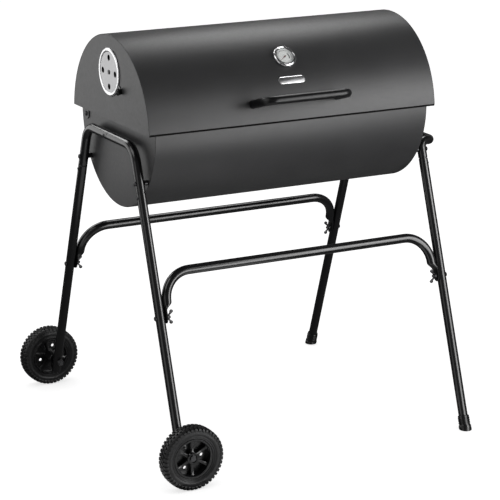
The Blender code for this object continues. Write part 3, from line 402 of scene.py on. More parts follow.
def end_plate(points, along, side):
    """An end plate of the drum from the (y, z) points of its outline."""
    outline = [Vector((side * along / 2, y, z)) for y, z in points]
    return plate(outline, X_AXIS * -side * settings().drum.sheet)


# Objects


def smooth(mesh, limit=math.radians(32)):
    mesh.shade_smooth()
    mesh.set_sharp_from_angle(angle=limit)


def linked(name, data):
    obj = bpy.data.objects.new(name, data)
    bpy.context.scene.collection.objects.link(obj)
    return obj


def shaped(name, mesh, at_middle=True):
    """An object from a mesh that was drawn about the barrel's middle."""
    if at_middle:
        bmesh.ops.translate(mesh, verts=mesh.verts, vec=MIDDLE)
    data = bpy.data.meshes.new(name)
    mesh.to_mesh(data)
    mesh.free()
    smooth(data)
    return linked(name, data)


def settled(obj):
    """Turns an object's modifiers into plain mesh."""
    graph = bpy.context.evaluated_depsgraph_get()
    mesh = bpy.data.meshes.new_from_object(obj.evaluated_get(graph))
    obj.modifiers.clear()
    obj.data = mesh
    return obj


def rounded_edges(obj, width, segments=2, limit=math.radians(40)):
    """Rounds the sharp edges and keeps the flat faces flat in shading."""
    modifier = obj.modifiers.new("Edges", "BEVEL")
    modifier.width = width
    modifier.segments = segments
    modifier.limit_method = "ANGLE"
    modifier.angle_limit = limit
    settled(obj)
    smooth(obj.data, math.radians(20))  # less than one step of a bevel in two segments
    return obj


def combined(obj, mesh, operation):
    """Cuts a mesh from an object, or joins it on."""
    other = shaped("helper", mesh)
    modifier = obj.modifiers.new("Cut", "BOOLEAN")
    modifier.operation = operation
    modifier.solver = "EXACT"
    modifier.object = other
    settled(obj)
    bpy.data.objects.remove(other)
    smooth(obj.data)
    return obj


def cross_recess(obj, crown, out, size):
    """Cuts a cross for a screwdriver into a head."""
    across, up = sides_of(out)
    low = crown - out * size * 0.5
    for way, thin in ((across, up), (up, across)):
        wide = way * size * 0.75
        narrow = thin * size * 0.16
        outline = [low - wide - narrow, low + wide - narrow, low + wide + narrow, low - wide + narrow]
        combined(obj, plate(outline, out * size), "DIFFERENCE")
    return obj


def with_vent_holes(obj, side):
    """Cuts the vent's holes through a plate at one end of the lid."""
    trim = settings().trim
    circle = trim.vent_circle
    reach = settings().drum.lid_length / 2
    for index in range(trim.vent_holes):
        turn = 2 * math.pi * index / trim.vent_holes
        spot = Vector((0, circle * math.cos(turn), trim.vent_height + circle * math.sin(turn)))
        cutter = [(trim.vent_hole, reach - 0.01), (trim.vent_hole, reach + 0.01)]
        combined(obj, lathe(cutter, spot, X_AXIS * side, 32), "DIFFERENCE")
    return obj


def dressed(obj, body, slot, *nodes, look=None):
    """Paints a finished piece, hangs it on its body and lets it stand for CAD nodes."""
    obj.data.materials.clear()
    obj.data.materials.append(finish(look or slot))
    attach(obj, body)
    if nodes:
        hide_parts(*nodes)
    return obj


def finished(name, mesh, body, slot, *nodes, look=None, edge=0.0):
    """A dressed piece straight from its mesh, with its edges rounded where asked."""
    obj = shaped(name, mesh)
    if edge:
        rounded_edges(obj, edge)
    return dressed(obj, body, slot, *nodes, look=look)


def cross_bolt(name, base, out, nut_seat, head_seat, node):
    """A bolt with a cross in its domed head on the outer seat and a hexagon nut on the inner one."""
    nut_low = nut_seat - BOLT_NUT_HEIGHT
    profile = [(BOLT, nut_low - 0.001), (BOLT, head_seat), (BOLT_HEAD, head_seat)]
    for width, rise in ((1, 0.4), (0.86, 0.75), (0.6, 0.95), (0.3, 1)):
        profile.append((BOLT_HEAD * width, head_seat + BOLT * rise))
    mesh = lathe(profile, base, out, 32)
    hexagon(base + out * nut_low, out, BOLT_HEAD, BOLT_NUT_HEIGHT, mesh=mesh)
    bolt = cross_recess(shaped(name, mesh), base + out * (head_seat + BOLT), out, BOLT)
    dressed(bolt, "stand", "black_steel", node)


# Geometry Nodes


def new_tree(name, inputs):
    """A Geometry Nodes tree with named inputs; gives the tree, a function for new nodes and its two ends."""
    tree = bpy.data.node_groups.new(name, "GeometryNodeTree")
    tree.interface.new_socket("Geometry", in_out="INPUT", socket_type="NodeSocketGeometry")
    for label, kind in inputs.items():
        tree.interface.new_socket(label, in_out="INPUT", socket_type=f"NodeSocket{kind}")
    tree.interface.new_socket("Geometry", in_out="OUTPUT", socket_type="NodeSocketGeometry")
    start = tree.nodes.new("NodeGroupInput")
    end = tree.nodes.new("NodeGroupOutput")

    def node(kind, **sources):
        """A new node; a source is a socket to link from, or a value."""
        made = tree.nodes.new(kind)
        for label, source in sources.items():
            socket = made.inputs[label.replace("_", " ")]
            if isinstance(source, bpy.types.NodeSocket):
                tree.links.new(source, socket)
            else:
                socket.default_value = source
        return made

    return tree, node, start, end


def add_sum(tree, node, operation, *sources):
    """A Math node on sockets and values, in the order of its inputs."""
    made = node("ShaderNodeMath")
    made.operation = operation
    for socket, source in zip(made.inputs, sources):
        if isinstance(source, bpy.types.NodeSocket):
            tree.links.new(source, socket)
        else:
            socket.default_value = source
    return made.outputs[0]


def finish_tree(tree, node, source, start, end):
    """Ends a tree: realised, smooth, with its material set."""
    real = node("GeometryNodeRealizeInstances", Geometry=source)
    soft = node("GeometryNodeSetShadeSmooth", Geometry=real.outputs[0])
    painted = node("GeometryNodeSetMaterial", Geometry=soft.outputs[0], Material=start.outputs["Material"])
    tree.links.new(painted.outputs[0], end.inputs[0])
    return tree


def rack_tree(name):
    """A welded rack: wires from front to back on a few wires along the barrel."""
    inputs = {"Length": "Float", "Depth": "Float", "Bars": "Int", "Cross Bars": "Int", "Inset": "Float"}
    inputs |= {"Wire": "Float", "Centre": "Vector", "Material": "Material"}
    tree, node, start, end = new_tree(name, inputs)
    socket = start.outputs

    def half(source, sign):
        return add_sum(tree, node, "MULTIPLY", source, sign / 2)

    def ends(axis, source):
        """The two ends of a length that is centred on an axis."""
        return [node("ShaderNodeCombineXYZ", **{axis: half(source, sign)}).outputs[0] for sign in (-1, 1)]

    def wires(number, row, span, drop):
        line = node("GeometryNodeMeshLine", Count=number, Start_Location=row[0], Offset=row[1])
        line.mode = "END_POINTS"
        wire = node("GeometryNodeCurvePrimitiveLine", Start=span[0], End=span[1])
        circle = node("GeometryNodeCurvePrimitiveCircle", Resolution=12)
        tree.links.new(half(socket["Wire"], 1), circle.inputs["Radius"])
        curves = {"Curve": wire.outputs[0], "Profile_Curve": circle.outputs[0]}
        solid = node("GeometryNodeCurveToMesh", **curves, Fill_Caps=True)
        copies = node("GeometryNodeInstanceOnPoints", Points=line.outputs[0], Instance=solid.outputs[0])
        level = node("ShaderNodeCombineXYZ", Z=half(socket["Wire"], drop))
        moved = node("GeometryNodeTransform", Geometry=copies.outputs[0], Translation=level.outputs[0])
        return moved.outputs[0]

    span = add_sum(tree, node, "MULTIPLY_ADD", socket["Inset"], -2, socket["Depth"])
    room = add_sum(tree, node, "SUBTRACT", socket["Length"], socket["Wire"])
    both = node("GeometryNodeJoinGeometry")
    tree.links.new(wires(socket["Bars"], ends("X", room), ends("Y", socket["Depth"]), 1), both.inputs[0])
    cross = wires(socket["Cross Bars"], ends("Y", span), ends("X", socket["Length"]), -0.6)
    tree.links.new(cross, both.inputs[0])
    placed = node("GeometryNodeTransform", Geometry=both.outputs[0], Translation=socket["Centre"])
    return finish_tree(tree, node, placed.outputs[0], start, end)


def ring_tree(name):
    """Copies of a piece turned in equal steps about Z, then the whole ring turned and moved into place."""
    inputs = {"Piece": "Object", "Copies": "Int", "First Turn": "Float", "Step": "Float"}
    inputs |= {"Turn": "Rotation", "Centre": "Vector", "Material": "Material"}
    tree, node, start, end = new_tree(name, inputs)
    socket = start.outputs
    points = node("GeometryNodePoints", Count=socket["Copies"])
    index = node("GeometryNodeInputIndex").outputs[0]
    turn = add_sum(tree, node, "MULTIPLY_ADD", index, socket["Step"], socket["First Turn"])
    about = node("ShaderNodeCombineXYZ", Z=turn)
    rotation = node("FunctionNodeEulerToRotation", Euler=about.outputs[0]).outputs[0]
    piece = node("GeometryNodeObjectInfo", Object=socket["Piece"]).outputs["Geometry"]
    copies = node("GeometryNodeInstanceOnPoints", Points=points.outputs[0], Instance=piece, Rotation=rotation)
    place = {"Rotation": socket["Turn"], "Translation": socket["Centre"]}
    placed = node("GeometryNodeTransform", Geometry=copies.outputs[0], **place)
    return finish_tree(tree, node, placed.outputs[0], start, end)


def fixings_tree(name):
    """A copy of a piece on each point of a mesh, turned to that point's facing."""
    tree, node, start, end = new_tree(name, {"Piece": "Object", "Material": "Material"})
    facing = node("GeometryNodeInputNamedAttribute", Name="facing")
    facing.data_type = "FLOAT_VECTOR"
    turn = node("FunctionNodeAlignRotationToVector", Vector=facing.outputs[0])
    turn.axis = "Z"
    piece = node("GeometryNodeObjectInfo", Object=start.outputs["Piece"]).outputs["Geometry"]
    points = {"Points": start.outputs["Geometry"], "Rotation": turn.outputs[0]}
    copies = node("GeometryNodeInstanceOnPoints", Instance=piece, **points)
    return finish_tree(tree, node, copies.outputs[0], start, end)


TREES = {"Wire rack": rack_tree, "Ring of copies": ring_tree, "Fixings": fixings_tree}


def grown(name, kind, values, points=None):
    """A plain mesh object made by one of the trees from named values."""
    tree = bpy.data.node_groups.get(kind) or TREES[kind](kind)
    obj = linked(name, points or bpy.data.meshes.new(name))
    modifier = obj.modifiers.new("Pieces", "NODES")
    modifier.node_group = tree
    for item in tree.interface.items_tree:
        if item.item_type == "SOCKET" and item.in_out == "INPUT" and item.name in values:
            modifier[item.identifier] = values[item.name]
    settled(obj)
    smooth(obj.data)
    return obj


def ring_of(name, piece, copies, step, turn, centre, body, slot, first=0.0, look=None):
    """Grows and dresses a ring of copies, and removes the pattern piece."""
    values = {"Piece": piece, "Copies": copies, "First Turn": first, "Step": step, "Turn": turn.to_euler()}
    values |= {"Centre": centre + MIDDLE, "Material": finish(look or slot)}
    dressed(grown(name, "Ring of copies", values), body, slot, look=look)
    bpy.data.objects.remove(piece)


def fixings(name, piece, places, body, slot):
    """Grows and dresses a copy of a piece at each (point, facing) place, and removes the pattern piece."""
    points = bpy.data.meshes.new(name)
    points.from_pydata([tuple(point + MIDDLE) for point, _ in places], [], [])
    facing = points.attributes.new("facing", "FLOAT_VECTOR", "POINT")
    for index, (_, way) in enumerate(places):
        facing.data[index].vector = way
    dressed(grown(name, "Fixings", {"Piece": piece, "Material": finish(slot)}, points), body, slot)
    bpy.data.objects.remove(piece)


def screw_pattern(name, profiles, sides=32, recess=None):
    """A pattern piece at the origin, turned about Z from (points, rounding) profiles."""
    mesh = bmesh.new()
    for profile, radius in profiles:
        lathe(rounded(profile, radius), Vector(), Z_AXIS, sides, mesh=mesh)
    obj = shaped(name, mesh, at_middle=False)
    if recess:
        height, size = recess
        cross_recess(obj, Z_AXIS * height - MIDDLE, Z_AXIS, size)
    return obj


# Finishes


class Paint:
    """A node material in the making: its shader, and short ways to add grain to it."""

    def __init__(self, name):
        self.material = bpy.data.materials.new(name)
        self.material.use_nodes = True
        self.tree = self.material.node_tree
        self.shader = self.tree.nodes["Principled BSDF"]
        self.place = self.tree.nodes.new("ShaderNodeTexCoord").outputs["Object"]

    def add(self, kind, **values):
        made = self.tree.nodes.new(kind)
        for label, value in values.items():
            made.inputs[label.replace("_", " ")].default_value = value
        return made

    def set(self, **values):
        for label, value in values.items():
            self.shader.inputs[label.replace("_", " ")].default_value = value
        return self

    def noise(self, scale, detail, stretch=None):
        """Grain of a size, stretched along the axes where asked."""
        made = self.add("ShaderNodeTexNoise", Scale=scale, Detail=detail)
        source = self.place
        if stretch:
            mapping = self.add("ShaderNodeMapping", Scale=stretch)
            self.tree.links.new(source, mapping.inputs["Vector"])
            source = mapping.outputs[0]
        self.tree.links.new(source, made.inputs["Vector"])
        return made.outputs["Fac"]

    def tint(self, grain, base, spread):
        """Colour that varies with a grain by a share either way."""
        ramp = self.add("ShaderNodeValToRGB")
        for element, level, share in zip(ramp.color_ramp.elements, (0.3, 0.7), (1 - spread, 1 + spread)):
            element.position = level
            element.color = (*(part * share for part in base), 1)
        self.tree.links.new(grain, ramp.inputs[0])
        self.tree.links.new(ramp.outputs[0], self.shader.inputs["Base Color"])

    def sheen(self, grain, low, high):
        """Roughness that varies with a grain."""
        span = self.add("ShaderNodeMapRange", From_Min=0.3, From_Max=0.7, To_Min=low, To_Max=high)
        self.tree.links.new(grain, span.inputs["Value"])
        self.tree.links.new(span.outputs[0], self.shader.inputs["Roughness"])

    def dents(self, grain, strength, distance):
        bump = self.add("ShaderNodeBump", Strength=strength, Distance=distance)
        self.tree.links.new(grain, bump.inputs["Height"])
        self.tree.links.new(bump.outputs[0], self.shader.inputs["Normal"])


# Each finish: its material's name and shader values; then the colour, its share and spread; the lowest and
# highest roughness; and the strength and distance of its bumps. Each of these three ends with the scale,
# detail and stretch of its grain.
FINISHES = {
    # Satin heat-proof paint with a fine orange peel, and a matt near-black on the lid's rolled front edge
    # that is painted shade: the dark line under the lid's edge.
    "drum_paint": (
        ("satin_drum_paint", {"Specular_IOR_Level": 0.5}),
        ("drum", 1, 0.1, 9, 3),
        (0.4, 0.46, 140, 3),
        (0.05, 0.0004, 1300, 2),
    ),
    "black_edge": (
        ("matt_black_edge", {"Specular_IOR_Level": 0.08}),
        ("drum", 0.12, 0.25, 60, 3),
        (0.7, 0.85, 300, 3),
        (0.08, 0.0003, 1300, 2),
    ),
    # Glossy powder coat on the tubes, and the handle's satin one, worn a little by hands.
    "tube_paint": (
        ("gloss_tube_coat", {"Specular_IOR_Level": 0.5, "Coat_Weight": 0.25, "Coat_Roughness": 0.12}),
        ("tube", 1, 0.15, 24, 3),
        (0.18, 0.25, 220, 3),
        (0.06, 0.0004, 900, 2),
    ),
    "handle_paint": (
        ("satin_handle_paint", {"Specular_IOR_Level": 0.38}),
        ("tube", 1, 0.25, 35, 4),
        (0.29, 0.37, 200, 4),
        (0.06, 0.0003, 1300, 2),
    ),
    "black_steel": (
        ("blackened_steel", {"Metallic": 0.7}),
        ("steel", 1, 0.3, 180, 4),
        (0.26, 0.42, 420, 3),
        (0.08, 0.0003, 1500, 2),
    ),
    # Moulded plastic with a fine spark grain, and rubber with a little dust in its pores.
    "black_plastic": (
        ("moulded_black_plastic", {"Specular_IOR_Level": 0.45}),
        ("plastic", 1, 0.18, 40, 3),
        (0.16, 0.26, 300, 3),
        (0.1, 0.0003, 1800, 2),
    ),
    "tyre_rubber": (
        ("tyre_rubber", {"Specular_IOR_Level": 0.28}),
        ("rubber", 1, 0.25, 70, 5),
        (0.34, 0.5, 240, 4),
        (0.25, 0.0004, 1100, 4),
    ),
    # Bright metals: a vent's brushed plate and softer rim, chrome, the badge's field and plated wire.
    "vent_metal": (
        ("brushed_zinc", {"Metallic": 1.0}),
        ("zinc", 1, 0.06, 60, 3, (1, 14, 1)),
        (0.3, 0.42, 120, 4, (1, 20, 1)),
        (0.06, 0.0003, 300, 3, (1, 18, 1)),
    ),
    "vent_rim": (
        ("satin_vent_rim", {"Metallic": 1.0}),
        ("chrome", 1, 0.04, 80, 3),
        (0.22, 0.32, 160, 3),
        (0.03, 0.0003, 500, 2),
    ),
    "chrome": (
        ("bright_chrome", {"Metallic": 1.0}),
        ("chrome", 1, 0.03, 80, 3),
        (0.14, 0.22, 160, 3),
        (0.02, 0.0003, 600, 2),
    ),
    "badge_metal": (
        ("brushed_badge", {"Metallic": 1.0}),
        ("zinc", 1, 0.12, 90, 4, (0.6, 9, 9)),
        (0.28, 0.44, 150, 4, (0.5, 12, 12)),
        (0.1, 0.0003, 320, 3, (0.5, 12, 12)),
    ),
    "grill_wire": (
        ("plated_wire", {"Metallic": 1.0}),
        ("chrome", 0.75, 0.12, 50, 4),
        (0.18, 0.34, 90, 4),
        (0.05, 0.0003, 700, 3),
    ),
    # The thermometer's print, needle and pane.
    "dial_white": (
        ("printed_dial", {}),
        ("dial", 1, 0.03, 300, 4),
        (0.38, 0.48, 500, 3),
        (0.04, 0.0002, 2400, 2),
    ),
    "dial_ink": (("dial_ink", {}), ("ink", 1, 0.2, 900, 3), (0.35, 0.45, 700, 3), None),
    "needle_red": (("needle_paint", {}), ("needle", 1, 0.08, 700, 3), (0.28, 0.36, 500, 3), None),
    "clear_glass": (
        ("clear_lens", {"Alpha": 0.16, "Specular_IOR_Level": 0.8}),
        ("lens", 1, 0.02, 120, 2),
        (0.03, 0.06, 160, 2),
        None,
    ),
    # Paper of the studio floor, which glows a little so that it stays white.
    "studio_floor": (
        ("studio_paper", {"Specular_IOR_Level": 0.1, "Emission_Color": WHITE, "Emission_Strength": 0.74}),
        ("floor", 1, 0.004, 3, 2),
        (0.85, 0.95, 8, 2),
        None,
    ),
}
MADE_FINISHES = {}


def finish(look):
    """The material of a slot or look, made when it is first asked for."""
    if look not in MADE_FINISHES:
        (name, values), (base, share, spread, *grain), (low, high, *fine), bumps = FINISHES[look]
        paint = Paint(name).set(**values)
        paint.tint(paint.noise(*grain), [part * share for part in getattr(settings().colours, base)], spread)
        paint.sheen(paint.noise(*fine), low, high)
        if bumps:
            strength, distance, *dimples = bumps
            paint.dents(paint.noise(*dimples), strength, distance)
        MADE_FINISHES[look] = paint.material
    return MADE_FINISHES[look]


# Places


def lid_centre():
    drum = settings().drum
    return drum.lid_top - drum.lid_radius


def lid_place(turn):
    """The point on the lid at an angle up from the front, and the way out of the lid there."""
    normal = Vector((0, -math.cos(turn), math.sin(turn)))
    return Vector((0, 0, lid_centre())) + normal * settings().drum.lid_radius, normal


def leg_point(side, face, height):
    """A point on a leg's axis: side -1 left or 1 right, face -1 front or 1 back."""
    stand = settings().stand
    return Vector((side * stand.leg_x, face * (stand.leg_top_y + stand.splay * (stand.rim - height)), height))


def leg_way(face):
    """The direction down a leg."""
    return Vector((0, face * settings().stand.splay, -1)).normalized()


def corner_name(side, face):
    return f"{dict(FACES)[face]}_{dict(SIDES)[side]}"


# Pieces


class BARRELGRILL_OT_bowl(bpy.types.Operator):
    """Rolled bowl with its turned-in lips and two end plates"""

    bl_idname = "barrel_grill.bowl"
    bl_label = "Bowl"
    bl_options = {"REGISTER", "UNDO"}

    def execute(self, context):
        drum = settings().drum
        lip = drum.bowl_radius - drum.lip
        inside = drum.bowl_radius - drum.sheet
        under = drum.bowl_top - drum.sheet
        outer = self.section(drum.bowl_radius, lip, drum.bowl_top)
        shell = bent_sheet(outer, self.section(inside, lip, under), drum.bowl_length)
        finished("bowl_sheet", shell, "stand", "drum_paint", "bowl_shell", edge=drum.edge)
        points = self.section(inside - drum.seam, lip, under - drum.seam)[1:-1]
        for side, word in SIDES:
            end = end_plate(points, drum.bowl_length, side)
            finished(f"bowl_end_plate_{word}", end, "stand", "drum_paint", f"bowl_end_{word}", edge=drum.edge)
        return {"FINISHED"}

    def section(self, radius, lip, top):
        """Points (y, z) from the front lip round the bowl to the back lip."""
        drum = settings().drum
        curve = arc(radius, drum.lid_rim, 0, -math.pi, drum.steps)
        return [(-lip, top), (-radius, top)] + curve + [(radius, top), (lip, top)]


class BARRELGRILL_OT_lid(bpy.types.Operator):
    """Rolled lid with a beaded front edge, a hemmed back edge and two end plates with vent holes"""

    bl_idname = "barrel_grill.lid"
    bl_label = "Lid"
    bl_options = {"REGISTER", "UNDO"}

    hem_steps = 4

    def execute(self, context):
        drum = settings().drum
        centre = lid_centre()
        drop = drum.lid_rim - centre
        radius = drum.lid_radius
        inside = radius - drum.sheet - drum.seam
        between = drum.lid_length - 2 * (drum.sheet + drum.seam)

        def curve(reach, lift=0.0):
            start = math.asin((drop + lift) / reach)
            return arc(reach, centre, start, math.pi - math.asin(drop / reach), drum.steps)

        mesh = bent_sheet(curve(radius, drum.bead), curve(radius - drum.sheet, drum.bead), drum.lid_length)
        back = math.pi - math.asin(drop / radius)
        ahead = back - drum.hem / radius
        hem = [arc(reach, centre, back, ahead, self.hem_steps) for reach in (inside, inside - drum.sheet)]
        bent_sheet(*hem, between, mesh=mesh)
        finished("lid_sheet", mesh, "lid", "drum_paint", "lid_shell", edge=drum.edge)

        # The rolled bead is painted matt near-black as painted shade, the dark shadow line where the lid's
        # front edge meets the bowl.
        roll = Vector((-between / 2, -radius + drum.bead, drum.lid_rim + drum.bead))
        bead = tube_with_ends([roll, roll + X_AXIS * between], drum.bead)
        finished("rolled_front_edge", bead, "lid", "drum_paint", look="black_edge")

        for side, word in SIDES:
            mesh = end_plate(curve(inside), drum.lid_length, side)
            end = with_vent_holes(shaped(f"lid_end_plate_{word}", mesh), side)
            dressed(rounded_edges(end, drum.edge), "lid", "drum_paint", f"lid_end_{word}")
        return {"FINISHED"}


class BARRELGRILL_OT_hinges(bpy.types.Operator):
    """Cranked straps with rounded ears and the bolts that they turn on"""

    bl_idname = "barrel_grill.hinges"
    bl_label = "Hinges"
    bl_options = {"REGISTER", "UNDO"}

    ear_steps = 14
    ear_end = math.pi / 2 * ear_steps / (ear_steps + 0.3)  # stops just short of a point

    def execute(self, context):
        drum = settings().drum
        hinge = settings().hinge
        fit = settings().stand.fit
        upper = drum.lid_length / 2 - drum.sheet - fit
        lower = drum.bowl_length / 2 + hinge.gap
        web = drum.lid_rim + hinge.web_rise
        thick = hinge.thickness
        ear = hinge.ear
        stations = [
            (upper, web + hinge.reach, upper - thick, web + hinge.reach, ear),
            (upper, web, upper - thick, web + thick, ear),
            (lower + thick, web, lower, web + thick, ear),
        ]
        for turn in steps_over(self.ear_steps, 0, self.ear_end):
            z = hinge.axis_z - ear * math.sin(turn)
            stations.append((lower + thick, z, lower, z, ear * math.cos(turn)))
        for side, word in SIDES:
            rings = []
            for out_x, out_z, in_x, in_z, half in stations:
                outer = ((out_x, -half, out_z), (out_x, half, out_z))
                inner = ((in_x, half, in_z), (in_x, -half, in_z))
                rings.append([Vector((side * x, hinge.axis_y + y, z)) for x, y, z in outer + inner])
            node = f"hinge_strap_{word}"
            finished(f"cranked_strap_{word}", skin(rings), "lid", "drum_paint", node, edge=drum.edge)
            base = Vector((side * lower, hinge.axis_y, hinge.axis_z))
            nut = -(drum.sheet + hinge.gap + fit)
            cross_bolt(f"pivot_bolt_{word}", base, X_AXIS * side, nut, thick + fit, f"hinge_bolt_{word}")
        return {"FINISHED"}


class BARRELGRILL_OT_lid_handle(bpy.types.Operator):
    """One bent bar on the front of the lid, held by screws and washers inside it"""

    bl_idname = "barrel_grill.lid_handle"
    bl_label = "Lid handle"
    bl_options = {"REGISTER", "UNDO"}

    washer = [(0.0001, 0), (0.0085, 0), (0.0085, 0.0012), (0.0001, 0.0012)]
    head = [(0.0001, 0.0012), (0.005, 0.0012), (0.005, 0.004), (0.0001, 0.0046)]

    def execute(self, context):
        trim = settings().trim
        fit = settings().stand.fit
        point, normal = lid_place(trim.handle_angle)
        half = X_AXIS * trim.handle_span / 2
        foot = point + normal * fit
        grip = point + normal * trim.handle_reach
        corners = [foot - half, grip - half, grip + half, foot + half]
        path = bent_path(corners, [trim.handle_bend] * 2, steps=18)
        bar = tube_with_ends(path, trim.handle_bar)
        finished("bent_handle_bar", bar, "lid", "tube_paint", "lid_handle", look="handle_paint")

        profiles = [(self.washer, 0.0004), (self.head, 0.0012)]
        pattern = screw_pattern("handle_screw", profiles, recess=(0.0046, 0.0028))
        inside = point - normal * (settings().drum.sheet + 2 * fit)
        places = [(inside + half * end, -normal) for end in (-1, 1)]
        fixings("handle_screws", pattern, places, "lid", "black_steel")
        return {"FINISHED"}


class BARRELGRILL_OT_thermometer(bpy.types.Operator):
    """Chrome case with stem and nut, printed dial, needle and lens"""

    bl_idname = "barrel_grill.thermometer"
    bl_label = "Thermometer"
    bl_options = {"REGISTER", "UNDO"}

    bezel = 0.0056
    case_floor = 0.0015
    stem = 0.0035
    stem_length = 0.055
    nut = 0.008
    nut_height = 0.005
    lid_facets = 36  # flats round the CAD's lid; their middles lie a little inside its curve
    dial_thickness = 0.001
    dial_bore = 0.0012
    lens_drop = 0.0015  # from the top of the bezel down to the crown of the lens
    sides = 96

    def execute(self, context):
        trim = settings().trim
        drum = settings().drum
        fit = settings().stand.fit
        point, normal = lid_place(trim.dial_angle)
        base = point + normal * fit
        outer = trim.dial_radius
        depth = trim.dial_depth
        well = outer - self.bezel
        floor = self.case_floor
        profile = [
            (POLE, -self.stem_length),
            (self.stem, -self.stem_length),
            (self.stem, 0),
            (outer - 0.0012, 0),
            (outer - 0.0004, 0.001),
            (outer - 0.0004, depth - 0.0044),
            (outer, depth - 0.0038),
            (outer - 0.0007, depth - 0.0018),
            (outer - 0.0019, depth - 0.0005),
            (outer - 0.003, depth),
            (outer - 0.0043, depth - 0.0005),
            (well, depth - 0.0017),
            (well, floor),
            (POLE, floor),
        ]
        case = lathe(rounded(profile, 0.0011, 5), base, normal, self.sides)
        finished("bezel_and_stem", case, "lid", "chrome", "thermometer_case")

        face = well - fit
        low = floor + fit
        high = low + self.dial_thickness
        bore = self.dial_bore
        section = [(face, high), (face, low), (bore, low), (bore, high)]
        disc = lathe(section, base, normal, self.sides, loop=True)
        finished("dial_plate", disc, "lid", "dial_white", "thermometer_dial")
        self.build_marks(base + normal * high, normal, face)

        top = depth - self.lens_drop
        dome = [(POLE, top - 0.0015), (face, top - 0.0015), (face, top - 0.0007)]
        dome += [(face * 0.7, top - 0.0003), (POLE, top)]
        lens = lathe(rounded(dome, 0.0004), base, normal, self.sides)
        finished("clear_pane", lens, "lid", "clear_glass", "thermometer_lens")
        # A black ring round the lens's edge is painted shade: the dark groove between the bezel and the dial.
        shade_ring_outline = [(face - 0.0013, top), (face, top - 0.0004), (face, top + 0.0006)]
        shade_ring_outline.append((face - 0.0009, top + 0.0008))
        shade_ring = lathe(rounded(shade_ring_outline, 0.0002), base, normal, self.sides, loop=True)
        finished("lens_gasket", shade_ring, "lid", "black_plastic")

        self.build_needle(base, normal, low, high)

        sag = drum.lid_radius * (1 - math.cos(math.pi / (2 * self.lid_facets)))
        seat = base - normal * (drum.sheet + 2 * fit + sag + self.nut_height)
        nut = hexagon(seat, normal, self.nut, self.nut_height)
        finished("stem_nut", nut, "lid", "black_steel", "thermometer_nut")
        return {"FINISHED"}

    def build_marks(self, centre, normal, face):
        """Printed marks: ticks, and an inked arc along the hot end of the scale."""
        trim = settings().trim
        turn = Z_AXIS.rotation_difference(normal)
        top = turn.inverted() @ normal.cross(X_AXIS)
        first = math.atan2(top.y, top.x) - trim.needle_rest
        sweep = 2 * trim.needle_rest
        low = face * 0.7
        high = face * 0.9
        half = 0.00042
        corners = [Vector((x, y, 0)) for x, y in ((low, -half), (high, -half), (high, half), (low, half))]
        tick = shaped("dial_tick", plate(corners, Z_AXIS * 0.00008), at_middle=False)
        step = sweep / (trim.dial_ticks - 1)
        place = (turn, centre, "lid", "dial_white")
        ring_of("dial_marks", tick, trim.dial_ticks, step, *place, first=first, look="dial_ink")

        rings = []
        rise = normal * 0.00007
        for bearing in steps_over(24, first + sweep * 0.02, first + sweep * 0.32):
            way = turn @ Vector((math.cos(bearing), math.sin(bearing), 0))
            inside = centre + way * face * 0.46
            outside = centre + way * face * 0.6
            rings.append([inside, outside, outside + rise, inside + rise])
        finished("hot_zone", skin(rings), "lid", "dial_white", look="dial_ink")

    def build_needle(self, base, normal, dial_low, dial_high):
        turn = settings().trim.needle_rest
        low = dial_high + settings().stand.fit
        thick = 0.0006
        along = Quaternion(normal, turn) @ normal.cross(X_AXIS)
        across = along.cross(normal)
        hub = [(0.0009, dial_low), (0.0009, low), (0.0024, low), (0.0024, low + 2 * thick)]
        mesh = lathe(hub + [(0.0012, low + 2.4 * thick)], base, normal, 32)
        level = base + normal * (low + thick * 0.2)
        tips = ((0.0185, 0), (0.001, -0.0011), (-0.0055, -0.0009), (-0.0055, 0.0009), (0.001, 0.0011))
        plate([level + along * ahead + across * aside for ahead, aside in tips], normal * thick, mesh=mesh)
        finished("dial_needle", mesh, "needle", "needle_red", "thermometer_needle")


class BARRELGRILL_OT_badge(bpy.types.Operator):
    """Bare pill-shaped badge: a polished rim round a brushed field"""

    bl_idname = "barrel_grill.badge"
    bl_label = "Badge"
    bl_options = {"REGISTER", "UNDO"}

    turn_steps = 18
    rim = (
        (0, 0),
        (0, 0.0009),
        (0.0003, 0.0014),
        (0.0009, 0.0016),
        (0.0014, 0.0014),
        (0.0018, 0.001),
        (0.0018, 0.0002),
    )
    field = ((0.0019, 0.0003), (0.0019, 0.0008), (0.0023, 0.00095))

    def execute(self, context):
        rim = skin([self.pill(*station) for station in self.rim])
        finished("badge_rim", rim, "lid", "chrome", "badge_plate")
        field = skin([self.pill(*station) for station in self.field])
        finished("badge_field", field, "lid", "badge_metal")
        return {"FINISHED"}

    def pill(self, inset, height):
        """The badge's outline, drawn in by an inset and raised off the lid."""
        trim = settings().trim
        point, normal = lid_place(trim.badge_angle)
        up = normal.cross(X_AXIS)
        base = point + normal * (settings().stand.fit + height)
        half = trim.badge_height / 2
        straight = trim.badge_width / 2 - half
        points = []
        for end in (1, -1):
            for turn in steps_over(self.turn_steps, -math.pi / 2, math.pi / 2):
                reach = straight + (half - inset) * math.cos(turn)
                points.append(base + X_AXIS * end * reach + up * end * (half - inset) * math.sin(turn))
        return points


